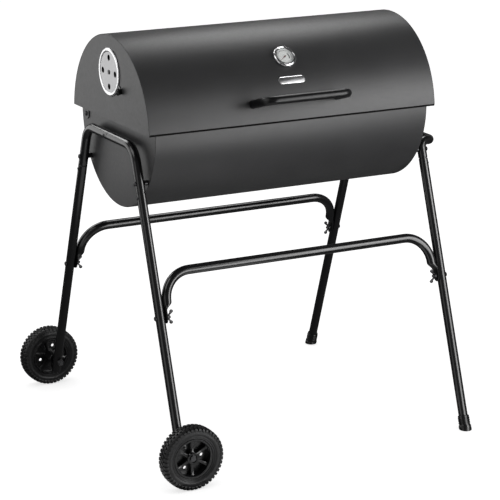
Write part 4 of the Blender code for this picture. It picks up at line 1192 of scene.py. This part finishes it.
class BARRELGRILL_OT_vents(bpy.types.Operator):
    """Turning vent discs with a rolled rim and four holes, their ball knobs and rivets"""

    bl_idname = "barrel_grill.vents"
    bl_label = "Vents"
    bl_options = {"REGISTER", "UNDO"}

    thick = 0.0012
    ear = 0.0062
    neck = 0.003
    ball_radius = 0.0084
    ball_half_height = 0.006
    rivet_shank = 0.003
    rivet_head = 0.0055
    sides = 40

    def execute(self, context):
        drum = settings().drum
        trim = settings().trim
        fit = settings().stand.fit
        top = self.thick + fit
        rear = -(drum.sheet + 2 * fit)
        shank = self.rivet_shank
        head = self.rivet_head
        rivet = [(POLE, rear - 0.0015), (0.0045, rear - 0.0013), (head, rear), (shank, rear), (shank, top)]
        rivet += [(head, top), (0.005, top + 0.0009), (0.0034, top + 0.0015), (POLE, top + 0.0017)]
        for side, word in SIDES:
            out = X_AXIS * side
            base = Vector((side * (drum.lid_length / 2 + fit), 0, trim.vent_height))
            self.build_disc(base, out, side, word)
            self.build_knob(base, out, top, word)
            pin = lathe(rivet, base, out, self.sides)
            finished(f"vent_pin_{word}", pin, "lid", "black_steel", f"vent_rivet_{word}")
        return {"FINISHED"}

    def build_disc(self, base, out, side, word):
        trim = settings().trim
        thick = self.thick
        radius = trim.vent_radius
        inner = radius - trim.vent_rim
        crest = radius - trim.vent_rim / 2
        profile = [(POLE, 0), (inner, 0), (inner, thick), (POLE, thick)]
        disc = shaped(f"vent_plate_{word}", lathe(profile, base, out, 128))
        section = [(inner + 0.0001, 0.0001), (radius - 0.0006, 0), (radius, 0.0006), (radius, 0.0012)]
        section += [(radius - 0.0012, 0.0021), (crest + 0.0017, 0.0029), (crest, 0.0032)]
        section += [(crest - 0.0017, 0.0029), (inner + 0.0012, 0.0021), (inner + 0.0001, thick + 0.0002)]
        rim = lathe(section, base, out, 128, loop=True)
        finished(f"vent_rim_{word}", rim, f"vent_{word}", "chrome", look="vent_rim")
        rounded_edges(with_vent_holes(disc, side), 0.00025, 2, math.radians(50))
        dressed(disc, f"vent_{word}", "vent_metal", f"vent_disc_{word}")

    def build_knob(self, base, out, top, word):
        """A ball on a neck, and the ear that joins it to the disc."""
        trim = settings().trim
        spot = Vector((0, -math.cos(trim.knob_angle), math.sin(trim.knob_angle)))
        tangent = out.cross(spot)
        knob = base + spot * trim.knob_circle
        outline = []
        for turn in steps_over(16, -math.pi / 2, math.pi / 2):
            outline.append(knob + (spot * math.cos(turn) + tangent * math.sin(turn)) * self.ear)
        root = base + spot * (trim.vent_radius + 0.0002)
        outline += [root + tangent * self.ear, root - tangent * self.ear]
        half = self.ball_half_height
        profile = [(POLE, 0), (self.neck, 0), (self.neck, top), (0.0066, top), (0.0072, top + 0.0012)]
        for turn in steps_over(10, -0.25 * math.pi, 0.47 * math.pi):
            profile.append((self.ball_radius * math.cos(turn) + 0.0001, top + half + half * math.sin(turn)))
        profile.append((POLE, top + 2 * half))
        handle = shaped(f"vent_ball_{word}", lathe(profile, knob, out, self.sides))
        combined(handle, plate(outline, out * self.thick), "UNION")
        dressed(handle, f"vent_{word}", "black_plastic", f"vent_knob_{word}")


class BARRELGRILL_OT_frame_tubes(bpy.types.Operator):
    """Bent upper tubes: the plugged pair at the left end and the carrying handle at the right"""

    bl_idname = "barrel_grill.frame_tubes"
    bl_label = "Frame tubes"
    bl_options = {"REGISTER", "UNDO"}

    def execute(self, context):
        stand = settings().stand
        middle = Vector((-stand.leg_x, 0, stand.top_height))
        for face, word in FACES:
            shoulder = leg_point(-1, face, stand.joint_height)
            corner = leg_point(-1, face, stand.top_height)
            end = middle if face < 0 else middle + Y_AXIS * stand.joint_gap
            mesh = tube_with_ends(bent_path([shoulder, corner, end], [stand.top_bend]), stand.tube)
            self.add_plug(mesh, shoulder, leg_way(face))
            if face < 0:
                self.add_plug(mesh, middle, Y_AXIS)
            finished(f"bent_tube_{word}_left", mesh, "stand", "tube_paint", f"upper_tube_{word}_left")

        corners = []
        for face, _ in FACES:
            bend = leg_point(1, face, stand.carry_height)
            out = bend + Vector((stand.carry_reach, -face * stand.carry_inset, -stand.carry_drop))
            corners.append([leg_point(1, face, stand.joint_height), bend, out])
        mesh = tube_with_ends(bent_path(corners[0] + corners[1][::-1], [stand.carry_bend] * 4), stand.tube)
        for face, _ in FACES:
            self.add_plug(mesh, leg_point(1, face, stand.joint_height), leg_way(face))
        finished("carrying_tube", mesh, "stand", "tube_paint", "carry_handle_tube")
        return {"FINISHED"}

    def add_plug(self, mesh, shoulder, way):
        """The slim end that goes into the next tube."""
        stand = settings().stand
        start = shoulder - way * stand.joint_gap
        swept([start, shoulder + way * stand.joint_insert], [stand.plug] * 2, mesh=mesh)


class BARRELGRILL_OT_legs(bpy.types.Operator):
    """Straight splayed legs, with plugs in the two that carry wheels"""

    bl_idname = "barrel_grill.legs"
    bl_label = "Legs"
    bl_options = {"REGISTER", "UNDO"}

    cap_floor = 0.0093  # from the floor up a right leg to its end inside the cap
    plug = [
        (POLE, -0.004),
        (0.0095, -0.004),
        (0.0095, 0.0001),
        (0.0108, 0.0001),
        (0.0108, 0.0022),
        (POLE, 0.003),
    ]

    def execute(self, context):
        stand = settings().stand
        for side, face in CORNERS:
            down = leg_way(face)
            top = leg_point(side, face, stand.joint_height) + down * stand.joint_gap
            if side < 0:
                end = leg_point(side, face, stand.leg_end)
            else:
                end = leg_point(side, face, 0) - down * self.cap_floor
            mesh = tube_with_ends([top, top.lerp(end, 0.5), end], stand.tube)
            name = corner_name(side, face)
            finished(f"straight_leg_{name}", mesh, "stand", "tube_paint", f"leg_{name}")
        places = [(leg_point(-1, face, stand.leg_end), leg_way(face)) for face, _ in FACES]
        pattern = screw_pattern("leg_plug", [(self.plug, 0.0008)], 40)
        fixings("leg_end_plugs", pattern, places, "stand", "black_plastic")
        return {"FINISHED"}


class BARRELGRILL_OT_feet(bpy.types.Operator):
    """Moulded caps that are cut level with the floor"""

    bl_idname = "barrel_grill.feet"
    bl_label = "Feet"
    bl_options = {"REGISTER", "UNDO"}

    wall = 0.0022
    flare = 0.0016
    solid = 0.009  # height up to which a cap has no bore
    height = 0.034
    rib = 0.0007
    rib_starts = (0.015, 0.0205, 0.026)
    sides = 56

    def execute(self, context):
        stand = settings().stand
        inner = stand.tube + stand.fit
        outer = inner + self.wall
        foot = outer + self.flare
        top = self.height
        profile = [(foot, self.solid), (outer + 0.0002, 0.0112), (outer, 0.0122)]
        for start in self.rib_starts:
            profile += [(outer, start), (outer + self.rib, start + 0.0006)]
            profile += [(outer + self.rib, start + 0.0022), (outer, start + 0.0028)]
        profile += [(outer, top - 0.001), (outer - 0.0008, top), (inner + 0.0003, top)]
        profile += [(inner, top - 0.0005), (inner, self.solid)]
        for face, word in FACES:
            floor = leg_point(1, face, 0)
            up = -leg_way(face)
            across, square = sides_of(up)
            rings = []
            for radius, lift in ((foot - 0.001, 0), (foot, 0.001)):
                level = ring(Vector(), across, square, radius, self.sides)
                rings.append([floor + offset - up * (offset.z / up.z) + Z_AXIS * lift for offset in level])
            for radius, height in profile:
                rings.append(ring(floor + up * height, across, square, radius, self.sides))
            finished(f"moulded_foot_{word}", skin(rings), "stand", "black_plastic", f"foot_cap_{word}_right")
        return {"FINISHED"}


class BARRELGRILL_OT_stretchers(bpy.types.Operator):
    """Bent tubes whose ends are pressed flat against the legs"""

    bl_idname = "barrel_grill.stretchers"
    bl_label = "Stretchers"
    bl_options = {"REGISTER", "UNDO"}

    sides = 36
    tip_steps = 7
    squeeze_steps = 8

    def execute(self, context):
        stand = settings().stand
        start = self.flat_top() + stand.squeeze
        for face, word in FACES:
            square = X_AXIS.cross(leg_way(face))
            heights = ((-1, start), (-1, stand.stretcher_height), (1, stand.stretcher_height), (1, start))
            corners = [self.beside(side, face, height, self.round_x()) for side, height in heights]
            path = bent_path(corners, [stand.stretcher_bend] * 2)
            rings = self.end_rings(-1, face)
            for point, way in list(zip(path, tangents(path)))[1:-1]:
                rings.append(ring(point, square.cross(way), square, stand.tube, self.sides))
            rings += self.end_rings(1, face)[::-1]
            finished(f"bent_stretcher_{word}", skin(rings), "stand", "tube_paint", f"stretcher_{word}")
        return {"FINISHED"}

    def flat_top(self):
        """Height where a pressed end starts to turn round."""
        stand = settings().stand
        return stand.wing_height - stand.flat_width / 2 + stand.flat_length

    def round_x(self):
        """From the barrel's middle to the axis of a round upright."""
        stand = settings().stand
        return stand.leg_x - 2 * stand.tube - stand.fit

    def beside(self, side, face, height, x):
        spot = leg_point(side, face, height)
        return Vector((side * x, spot.y, spot.z))

    def end_rings(self, side, face):
        """Rings from the pressed tip up to where the tube is round."""
        stand = settings().stand
        down = leg_way(face)
        square = X_AXIS.cross(down)
        across = square.cross(down * side)
        flat_x = stand.leg_x - stand.tube - stand.fit - stand.flat / 2
        half = stand.flat_width / 2
        stations = []
        for turn in steps_over(self.tip_steps, 0, math.pi / 2):
            height = stand.wing_height - half * math.cos(turn)
            stations.append((height, flat_x, half * max(0.3, math.sin(turn)), stand.flat / 2))
        for share in steps_over(self.squeeze_steps)[1:]:
            ease = share * share * (3 - 2 * share)
            width = half + (stand.tube - half) * ease
            thick = stand.flat / 2 + (stand.tube - stand.flat / 2) * ease
            x = flat_x + (self.round_x() - flat_x) * ease
            stations.append((self.flat_top() + stand.squeeze * share, x, width, thick))
        rings = []
        for height, x, width, thick in stations:
            spot = self.beside(side, face, height, x)
            rings.append(ring(spot, across, square, width, self.sides, thick / width))
        return rings


class BARRELGRILL_OT_fasteners(bpy.types.Operator):
    """Bolts, spacers and wing nuts of the stand, and the small screws of the tube joints"""

    bl_idname = "barrel_grill.fasteners"
    bl_label = "Fasteners"
    bl_options = {"REGISTER", "UNDO"}

    sleeve_radius = 0.006
    bore = 0.0033
    bolt_tail = 0.009  # from the wing nut's seat to the bolt's end
    nut_hub = 0.006  # height of the wing nut's hub
    wing_root = 0.0036
    wing_reach = 0.0125
    wing_lean = 0.011
    wing_end = 0.0044
    wing_half = 0.0014
    screw_drop = 0.012  # from a leg's joint down to its screw
    screw_aside = 0.014  # from the top tube's joint to its screw
    screw_head = [(POLE, -0.0008), (0.0036, -0.0008), (0.0036, 0.0004), (0.0027, 0.0016), (POLE, 0.002)]

    def execute(self, context):
        for side, face in CORNERS:
            self.build_bowl_bolt(side, face)
            self.build_wing_fixing(side, face)
        self.build_joint_screws()
        return {"FINISHED"}

    def reach_of(self, node):
        """How near to the barrel's middle a node starts along X, and how far it goes."""
        return sorted(abs(corner.x - MIDDLE.x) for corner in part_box(node))

    def build_bowl_bolt(self, side, face):
        stand = settings().stand
        drum = settings().drum
        name = corner_name(side, face)
        place = Vector((0, leg_point(side, face, stand.bolt_height).y, stand.bolt_height))
        out = X_AXIS * side
        near, far = self.reach_of(f"spacer_{name}")
        outer = self.sleeve_radius
        section = [(outer, near), (outer, far), (self.bore, far), (self.bore, near)]
        sleeve = lathe(section, place, out, 40, loop=True)
        finished(f"sleeve_{name}", sleeve, "stand", "black_steel", f"spacer_{name}", edge=0.0004)
        _, crown = self.reach_of(f"bowl_bolt_{name}")
        nut = drum.bowl_length / 2 - drum.sheet - stand.fit
        cross_bolt(f"frame_bolt_{name}", place, out, nut, crown - BOLT, f"bowl_bolt_{name}")

    def build_wing_fixing(self, side, face):
        stand = settings().stand
        name = corner_name(side, face)
        place = Vector((0, leg_point(side, face, stand.wing_height).y, stand.wing_height))
        out = X_AXIS * side
        seat = stand.leg_x - stand.tube - 2 * stand.fit - stand.flat
        head = stand.leg_x + stand.tube + stand.fit
        tail = seat - self.bolt_tail
        profile = [(POLE, tail), (0.0026, tail), (BOLT, tail + 0.0006), (BOLT, head), (BOLT_HEAD, head)]
        profile += [(BOLT_HEAD, head + 0.0012), (0.0047, head + 0.0022), (0.0033, head + 0.0028)]
        bolt = shaped(f"wing_screw_{name}", lathe(profile + [(0.0016, head + BOLT)], place, out, 32))
        cross_recess(bolt, place + out * (head + BOLT), out, BOLT)
        dressed(bolt, "stand", "black_steel", f"wing_bolt_{name}")

        top = seat - self.nut_hub
        hub = [(0.0065, seat), (0.0063, seat - 0.002), (0.0052, top), (self.bore, top), (self.bore, seat)]
        mesh = lathe(hub, place, out, 32, loop=True)
        for way in (-1, 1):
            self.add_wing(mesh, place + out * seat, out, Z_AXIS * way)
        nut = rounded_edges(shaped(f"wing_nut_body_{name}", mesh), 0.0005, 3)
        dressed(nut, "stand", "black_steel", f"wing_nut_{name}")

    def add_wing(self, mesh, seat, out, way):
        """One wing of a nut: a flat leaf that leans out and ends round."""
        root = way * self.wing_root
        tip = seat - out * self.wing_lean + way * self.wing_reach
        outline = [seat - out * 0.0006 + root, seat - out * 0.0058 + root]
        for turn in steps_over(12, 1.1 * math.pi, -0.15 * math.pi):
            outline.append(tip + (out * math.cos(turn) + way * math.sin(turn)) * self.wing_end)
        half = Y_AXIS * self.wing_half
        plate([point - half for point in outline], half * 2, mesh=mesh)

    def build_joint_screws(self):
        stand = settings().stand
        pattern = screw_pattern("joint_screw", [(self.screw_head, 0.0007)], recess=(0.002, 0.0022))
        places = []
        for side, face in CORNERS:
            spot = leg_point(side, face, stand.joint_height - self.screw_drop)
            places.append((spot + X_AXIS * side * stand.tube, X_AXIS * side))
        places.append((Vector((-stand.leg_x - stand.tube, self.screw_aside, stand.top_height)), -X_AXIS))
        fixings("joint_screws", pattern, places, "stand", "black_steel")


class BARRELGRILL_OT_wheels(bpy.types.Operator):
    """Moulded wheels with ribbed spokes, treaded tyres and their axle bolts"""

    bl_idname = "barrel_grill.wheels"
    bl_label = "Wheels"
    bl_options = {"REGISTER", "UNDO"}

    web_low = -0.008
    web_high = -0.005
    hub_face = 0.012
    hub_recess = 0.007
    hub_foot = 0.0175  # from the leg's axis to the hub's inner end
    hub_cup = 0.0098  # radius of the recess for the axle's head
    hole_boss = 0.0018  # width of the raised edge round a hole in the web
    spoke_half = 0.0041
    spoke_front = 0.006
    spoke_back = -0.012
    axle_washer = 0.0085
    axle_washer_height = 0.0009
    axle_head = 0.0078
    axle_head_height = 0.0042
    axle_nut = 0.0085
    axle_nut_height = 0.006
    axle_tail = 0.0025  # from the nut to the axle's end

    def execute(self, context):
        wheel = settings().wheel
        for face, word in FACES:
            out = Y_AXIS * face
            axle = leg_point(-1, face, wheel.radius)
            centre = axle + out * wheel.offset
            body = f"{word}_wheel"
            self.build_rim(centre, out, word, body)
            self.build_spokes(centre, out, word, body)
            self.build_tyre(centre, out, word, body)
            self.build_axle(axle, out, word)
        return {"FINISHED"}

    def build_rim(self, centre, out, word, body):
        """Rim, recessed web with its three holes, and the hub in one moulding."""
        wheel = settings().wheel
        half = wheel.rim_width / 2
        rim = wheel.rim
        low = self.web_low
        high = self.web_high
        outline = [
            (rim, half - 0.001),
            (rim, -half + 0.001),
            (rim - 0.001, -half),
            (rim - 0.0048, -half),
            (rim - 0.0058, -half + 0.001),
            (rim - 0.0066, -half + 0.006),
            (rim - 0.0076, 0),
            (rim - 0.0066, half - 0.006),
            (rim - 0.0058, half - 0.0014),
            (rim - 0.0048, half),
            (rim - 0.001, half),
        ]
        moulding = shaped(f"wheel_rim_{word}", lathe(outline, centre, out, 96, loop=True))
        web = [(rim - 0.004, high), (rim - 0.004, low), (wheel.hub - 0.003, low), (wheel.hub - 0.003, high)]
        combined(moulding, lathe(web, centre, out, 96, loop=True), "UNION")
        for index in range(wheel.holes):
            turn = self.first_turn(word) + math.pi / 2 + 2 * math.pi * index / wheel.holes
            spot = centre + (X_AXIS * math.sin(turn) + Z_AXIS * math.cos(turn)) * wheel.hole_circle
            boss = (wheel.hole + self.hole_boss, 0.001, "UNION")
            for radius, past, operation in (boss, (wheel.hole, 0.006, "DIFFERENCE")):
                rod = [(radius, low - past), (radius, high + past)]
                combined(moulding, lathe(rod, spot, out, 32), operation)
        foot = self.hub_foot - wheel.offset
        face = self.hub_face
        cup = self.hub_cup
        hub = [
            (wheel.hub, face - 0.0012),
            (wheel.hub + 0.0012, high + 0.001),
            (wheel.hub + 0.0012, low - 0.001),
            (wheel.hub, foot + 0.001),
            (wheel.hub - 0.001, foot),
            (wheel.bore, foot),
            (wheel.bore, self.hub_recess),
            (cup, self.hub_recess),
            (cup, face - 0.0005),
            (cup + 0.0005, face),
            (wheel.hub - 0.0012, face),
        ]
        combined(moulding, lathe(hub, centre, out, 64, loop=True), "UNION")
        rounded_edges(moulding, 0.0004, 2, math.radians(50))
        dressed(moulding, body, "black_plastic", f"wheel_{word}")

    def first_turn(self, word):
        """How far a wheel is turned at rest, from its first spoke straight up."""
        return settings().wheel.back_turn if word == "back" else 0.0

    def build_spokes(self, centre, out, word, body):
        """Ribs that stand proud of the web on both sides."""
        wheel = settings().wheel
        root = wheel.hub - 0.0015
        tip = wheel.rim - 0.0052
        back = self.spoke_back
        shoulder = -0.0065
        rings = []
        for share in (0, 0.06, 0.2, 0.5, 0.8, 0.94, 1):
            radius = root + (tip - root) * share
            off_middle = abs(2 * share - 1)
            wide = self.spoke_half * (1 + 0.45 * off_middle**4)
            front = self.spoke_front + 0.0022 * off_middle**3
            half = [(0.8, back), (1, shoulder), (0.82, front - 0.0006), (0.6, front)]
            section = [(-0.8, back)] + half + [(-width, level) for width, level in half[:0:-1]]
            rings.append([Vector((radius, wide * width, level)) for width, level in section])
        pattern = rounded_edges(shaped("wheel_spoke", skin(rings), at_middle=False), 0.0005)
        first = math.pi / 2 + self.first_turn(word) * math.copysign(1, out.y)
        step = 2 * math.pi / wheel.spokes
        place = (Z_AXIS.rotation_difference(out), centre, body, "black_plastic")
        ring_of(f"wheel_spokes_{word}", pattern, wheel.spokes, step, *place, first=first)

    def build_tyre(self, centre, out, word, body):
        """A tyre with two rows of blocks on each side of its middle line."""
        wheel = settings().wheel
        half = wheel.tyre_width / 2
        seat = wheel.rim + 0.0003
        crown = wheel.radius - wheel.lug_height
        bulge = [(seat, 0.78), (seat + 0.0012, 0.83), (seat + 0.0026, 0.82), (seat + 0.0034, 0.86)]
        bulge += [(seat + 0.005, 0.92), (seat + 0.0062, 0.9), (seat + 0.007, 0.94), (seat + 0.0098, 1)]
        bulge += [(seat + 0.0128, 0.985), (crown - 0.0046, 0.93), (crown - 0.002, 0.8)]
        bulge += [(crown - 0.0006, 0.55), (crown, 0.25)]
        outline = [(radius, half * share) for radius, share in bulge]
        outline += [(radius, -offset) for radius, offset in reversed(outline)]
        carcass = lathe(outline, centre, out, 120, loop=True)
        finished(f"tyre_carcass_{word}", carcass, body, "tyre_rubber", f"tyre_{word}")

        step = 2 * math.pi / wheel.lugs
        place = (Z_AXIS.rotation_difference(out), centre, body, "tyre_rubber")
        rows = (
            ("shoulder_lugs_outer", self.shoulder_lug, 1, 0.0),
            ("shoulder_lugs_inner", self.shoulder_lug, -1, step / 2),
            ("crown_lugs_outer", self.crown_lug, 1, step / 2),
            ("crown_lugs_inner", self.crown_lug, -1, 0.0),
        )
        for name, maker, way, first in rows:
            mesh = maker(wheel.radius * step, way)
            pattern = rounded_edges(shaped("tread_lug", mesh, at_middle=False), 0.0004, 1)
            ring_of(f"{name}_{word}", pattern, wheel.lugs, step, *place, first=first)

    def shoulder_lug(self, pitch, way):
        """A block that wraps from the crown on to the tyre's side."""
        half = way * settings().wheel.tyre_width / 2
        top = settings().wheel.radius
        wide = pitch * 0.3
        section = [(0.0105, 0.985), (0.0082, 1.03), (0.003, 0.97), (0.0007, 0.76)]
        section += [(0.0004, 0.5), (0.0035, 0.5), (0.0075, 0.8)]
        rings = []
        for aside in (-wide, wide):
            rings.append([Vector((top - drop, aside, half * share)) for drop, share in section])
        return skin(rings)

    def crown_lug(self, pitch, way):
        """A slanted block beside the tyre's middle line."""
        half = way * settings().wheel.tyre_width / 2
        low = settings().wheel.radius - 0.0035
        high = settings().wheel.radius - 0.0001
        wide = pitch * 0.31
        rings = []
        for share, lean in ((0.06, -0.35), (0.42, 0.35)):
            corners = ((low, lean - 1), (low, lean + 1), (high, lean + 0.9), (high, lean - 0.9))
            rings.append([Vector((radius, wide * aside, half * share)) for radius, aside in corners])
        return skin(rings)

    def build_axle(self, axle, out, word):
        """Axle bolt with a hexagon head in the hub's recess and a locknut behind the leg."""
        stand = settings().stand
        wheel = settings().wheel
        nut = stand.tube / leg_way(1).z - self.axle_nut * stand.splay - stand.fit
        nut_low = nut - self.axle_nut_height
        tail = nut_low - self.axle_tail
        head = wheel.offset + self.hub_recess + stand.fit
        washer_top = head + self.axle_washer_height
        profile = [
            (POLE, tail),
            (wheel.axle - 0.0006, tail),
            (wheel.axle, tail + 0.0007),
            (wheel.axle, head),
            (self.axle_washer, head),
            (self.axle_washer, washer_top),
            (POLE, washer_top),
        ]
        mesh = lathe(profile, axle, out, 48)
        hexagon(axle + out * (washer_top - 0.0001), out, self.axle_head, self.axle_head_height, mesh=mesh)
        hexagon(axle + out * nut_low, out, self.axle_nut, self.axle_nut_height, mesh=mesh)
        finished(f"axle_{word}", mesh, "stand", "black_steel", f"axle_bolt_{word}")


class BARRELGRILL_OT_racks(bpy.types.Operator):
    """Plated wire: two cooking grills on the bowl's lips and a charcoal grate below"""

    bl_idname = "barrel_grill.racks"
    bl_label = "Grills and grate"
    bl_options = {"REGISTER", "UNDO"}

    def execute(self, context):
        grill = settings().grill
        for _, word in SIDES:
            self.build_rack(f"cooking_grill_{word}", f"wire_grill_{word}", grill.bars, grill.grill_wire)
        self.build_rack("charcoal_grate", "wire_grate", grill.grate_bars, grill.grate_wire)
        return {"FINISHED"}

    def build_rack(self, node, name, bars, wire):
        grill = settings().grill
        low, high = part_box(node)
        size = high - low
        centre = (low + high) / 2
        centre.z = high.z - wire
        values = {"Length": size.x, "Depth": size.y, "Bars": bars, "Cross Bars": grill.cross_bars}
        values |= {"Inset": grill.inset, "Wire": wire, "Centre": centre, "Material": finish("grill_wire")}
        dressed(grown(name, "Wire rack", values), "stand", "grill_wire", node)


# Studio


class BARRELGRILL_OT_stage(bpy.types.Operator):
    """Pale floor, soft studio light and the camera"""

    bl_idname = "barrel_grill.stage"
    bl_label = "Stage"
    bl_options = {"REGISTER", "UNDO"}

    camera_place = Vector((-2.3165, -4.3888, 1.7855))
    camera_way = Vector((0.4514, 0.8511, -0.2681))
    camera_roll = 0.03
    lens = 153.46
    shift = (-0.00702, -0.00064)
    floor_half = 40.0
    # Brightness of the air from straight down to straight up.
    shades = ((0.04, 0.13), (0.15, 0.09), (0.34, 0.06), (0.6, 0.14), (0.87, 0.05))
    # Each softbox: its place, its target, its size, its power in watts and its turn in degrees.
    softboxes = {
        "front_softbox": ((0.84, -1.65, 0.52), (0, -0.2, 0.65), (1.7, 0.8), 25, 46),
        "front_glow": ((1.2, -1.5, 1.36), (0.1, -0.1, 0.85), (1.2, 0.8), 12, 0),
        "left_softbox": ((-1.3, 1.05, 0.8), (-0.3, 0, 0.75), (1.9, 1.1), 9, 0),
        "side_softbox": ((-1.75, -0.75, 0.45), (-0.36, -0.1, 0.75), (0.9, 1.6), 3.6, 0),
        "left_glow": ((-1.6, -0.2, 2.0), (0, 0, 0.7), (1.3, 1.0), 9, 0),
        "top_softbox": ((0.82, 0.95, 2.3), (0.1, 0, 0.9), (0.9, 0.9), 11, 0),
        "back_softbox": ((-0.6, 2.0, 2.2), (0, 0.1, 0.8), (1.6, 1.0), 20, 0),
        "floor_bounce": ((-0.3, -0.5, 0.02), (-0.3, -0.5, 1), (1.0, 0.6), 1.2, 0),
        "floor_softbox": ((0, 0, 7.0), (0, 0, 0), (16.0, 16.0), 500, 0),
    }

    def execute(self, context):
        floor = self.build_floor()
        self.build_air(context.scene)
        for name in self.softboxes:
            self.build_softbox(name, floor)
        context.scene.view_settings.view_transform = "Standard"
        self.build_camera(context.scene)
        return {"FINISHED"}

    def build_floor(self):
        half = self.floor_half
        data = bpy.data.meshes.new("studio_floor")
        corners = [(-half, -half, 0), (half, -half, 0), (half, half, 0), (-half, half, 0)]
        data.from_pydata(corners, [], [(0, 1, 2, 3)])
        data.materials.append(finish("studio_floor"))
        floor = linked("studio_floor", data)
        floor.visible_glossy = False
        floor.visible_diffuse = False
        return floor

    def build_air(self, scene):
        """Dim air that is brightest at the walls and from below; the camera sees a white backdrop instead."""
        world = bpy.data.worlds.new("studio_air")
        world.use_nodes = True
        nodes = world.node_tree.nodes
        links = world.node_tree.links
        place = nodes.new("ShaderNodeTexCoord")
        split = nodes.new("ShaderNodeSeparateXYZ")
        height = nodes.new("ShaderNodeMapRange")
        height.inputs["From Min"].default_value = -1.0
        ramp = nodes.new("ShaderNodeValToRGB")
        ramp.color_ramp.interpolation = "EASE"
        while len(ramp.color_ramp.elements) < len(self.shades):
            ramp.color_ramp.elements.new(0.5)
        for element, (level, shade) in zip(ramp.color_ramp.elements, self.shades):
            element.position = level
            element.color = (shade, shade, shade, 1)
        backdrop = nodes.new("ShaderNodeBackground")
        backdrop.inputs["Color"].default_value = WHITE
        ray = nodes.new("ShaderNodeLightPath")
        seen = nodes.new("ShaderNodeMixShader")
        air = nodes["Background"]
        links.new(place.outputs["Generated"], split.inputs[0])
        links.new(split.outputs["Z"], height.inputs["Value"])
        links.new(height.outputs[0], ramp.inputs[0])
        links.new(ramp.outputs[0], air.inputs["Color"])
        sources = (ray.outputs["Is Camera Ray"], air.outputs[0], backdrop.outputs[0])
        for source, socket in zip(sources, seen.inputs):
            links.new(source, socket)
        links.new(seen.outputs[0], nodes["World Output"].inputs["Surface"])
        scene.world = world

    def build_softbox(self, name, floor):
        """A soft light for the grill alone, or for the floor alone."""
        place, target, size, power, turn = self.softboxes[name]
        light = bpy.data.lights.new(name, "AREA")
        light.shape = "RECTANGLE"
        light.size, light.size_y = size
        light.energy = power
        lamp = linked(name, light)
        lamp.location = place
        lamp.rotation_euler = self.aimed(Vector(target) - Vector(place), turn)
        lamp.visible_camera = False
        lit = bpy.data.collections.new(f"{name}_light")
        lit.objects.link(floor)
        link = lit.collection_objects[0].light_linking
        link.link_state = "INCLUDE" if name == "floor_softbox" else "EXCLUDE"
        lamp.light_linking.receiver_collection = lit

    def aimed(self, way, roll):
        """The rotation of a lamp or camera that looks along a way, rolled by degrees."""
        return (way.to_track_quat("-Z", "Y") @ Quaternion(Z_AXIS, math.radians(roll))).to_euler()

    def build_camera(self, scene):
        data = bpy.data.cameras.new("photo_camera")
        data.lens = self.lens
        data.sensor_width = 36.0
        data.shift_x, data.shift_y = self.shift
        data.clip_end = 200.0
        camera = linked("photo_camera", data)
        camera.location = self.camera_place
        camera.rotation_euler = self.aimed(self.camera_way, self.camera_roll)
        scene.camera = camera


PIECES = (
    BARRELGRILL_OT_bowl,
    BARRELGRILL_OT_lid,
    BARRELGRILL_OT_hinges,
    BARRELGRILL_OT_lid_handle,
    BARRELGRILL_OT_thermometer,
    BARRELGRILL_OT_badge,
    BARRELGRILL_OT_vents,
    BARRELGRILL_OT_frame_tubes,
    BARRELGRILL_OT_legs,
    BARRELGRILL_OT_feet,
    BARRELGRILL_OT_stretchers,
    BARRELGRILL_OT_fasteners,
    BARRELGRILL_OT_wheels,
    BARRELGRILL_OT_racks,
    BARRELGRILL_OT_stage,
)


class BARRELGRILL_PT_sidebar(bpy.types.Panel):
    """Lists the grill's pieces and sizes"""

    bl_label = "Barrel Grill"
    bl_idname = "BARRELGRILL_PT_sidebar"
    bl_space_type = "VIEW_3D"
    bl_region_type = "UI"
    bl_category = "Barrel Grill"

    def draw(self, context):
        for operator in PIECES:
            self.layout.operator(operator.bl_idname)
        for group in BarrelGrillSettings.__annotations__:
            box = self.layout.box()
            box.label(text=group.title())
            values = getattr(context.scene.barrel_grill, group)
            for value in values.__annotations__:
                box.prop(values, value)


CLASSES = (
    DrumSizes,
    LidTrimSizes,
    HingeSizes,
    StandSizes,
    WheelSizes,
    GrillSizes,
    Colours,
    BarrelGrillSettings,
    *PIECES,
    BARRELGRILL_PT_sidebar,
)


def register():
    for item in CLASSES:
        bpy.utils.register_class(item)
    bpy.types.Scene.barrel_grill = PointerProperty(type=BarrelGrillSettings)


def unregister():
    del bpy.types.Scene.barrel_grill
    for item in reversed(CLASSES):
        bpy.utils.unregister_class(item)


def main():
    register()
    for operator in PIECES:
        group, name = operator.bl_idname.split(".")
        getattr(getattr(bpy.ops, group), name)()


if __name__ == "__main__":
    main()
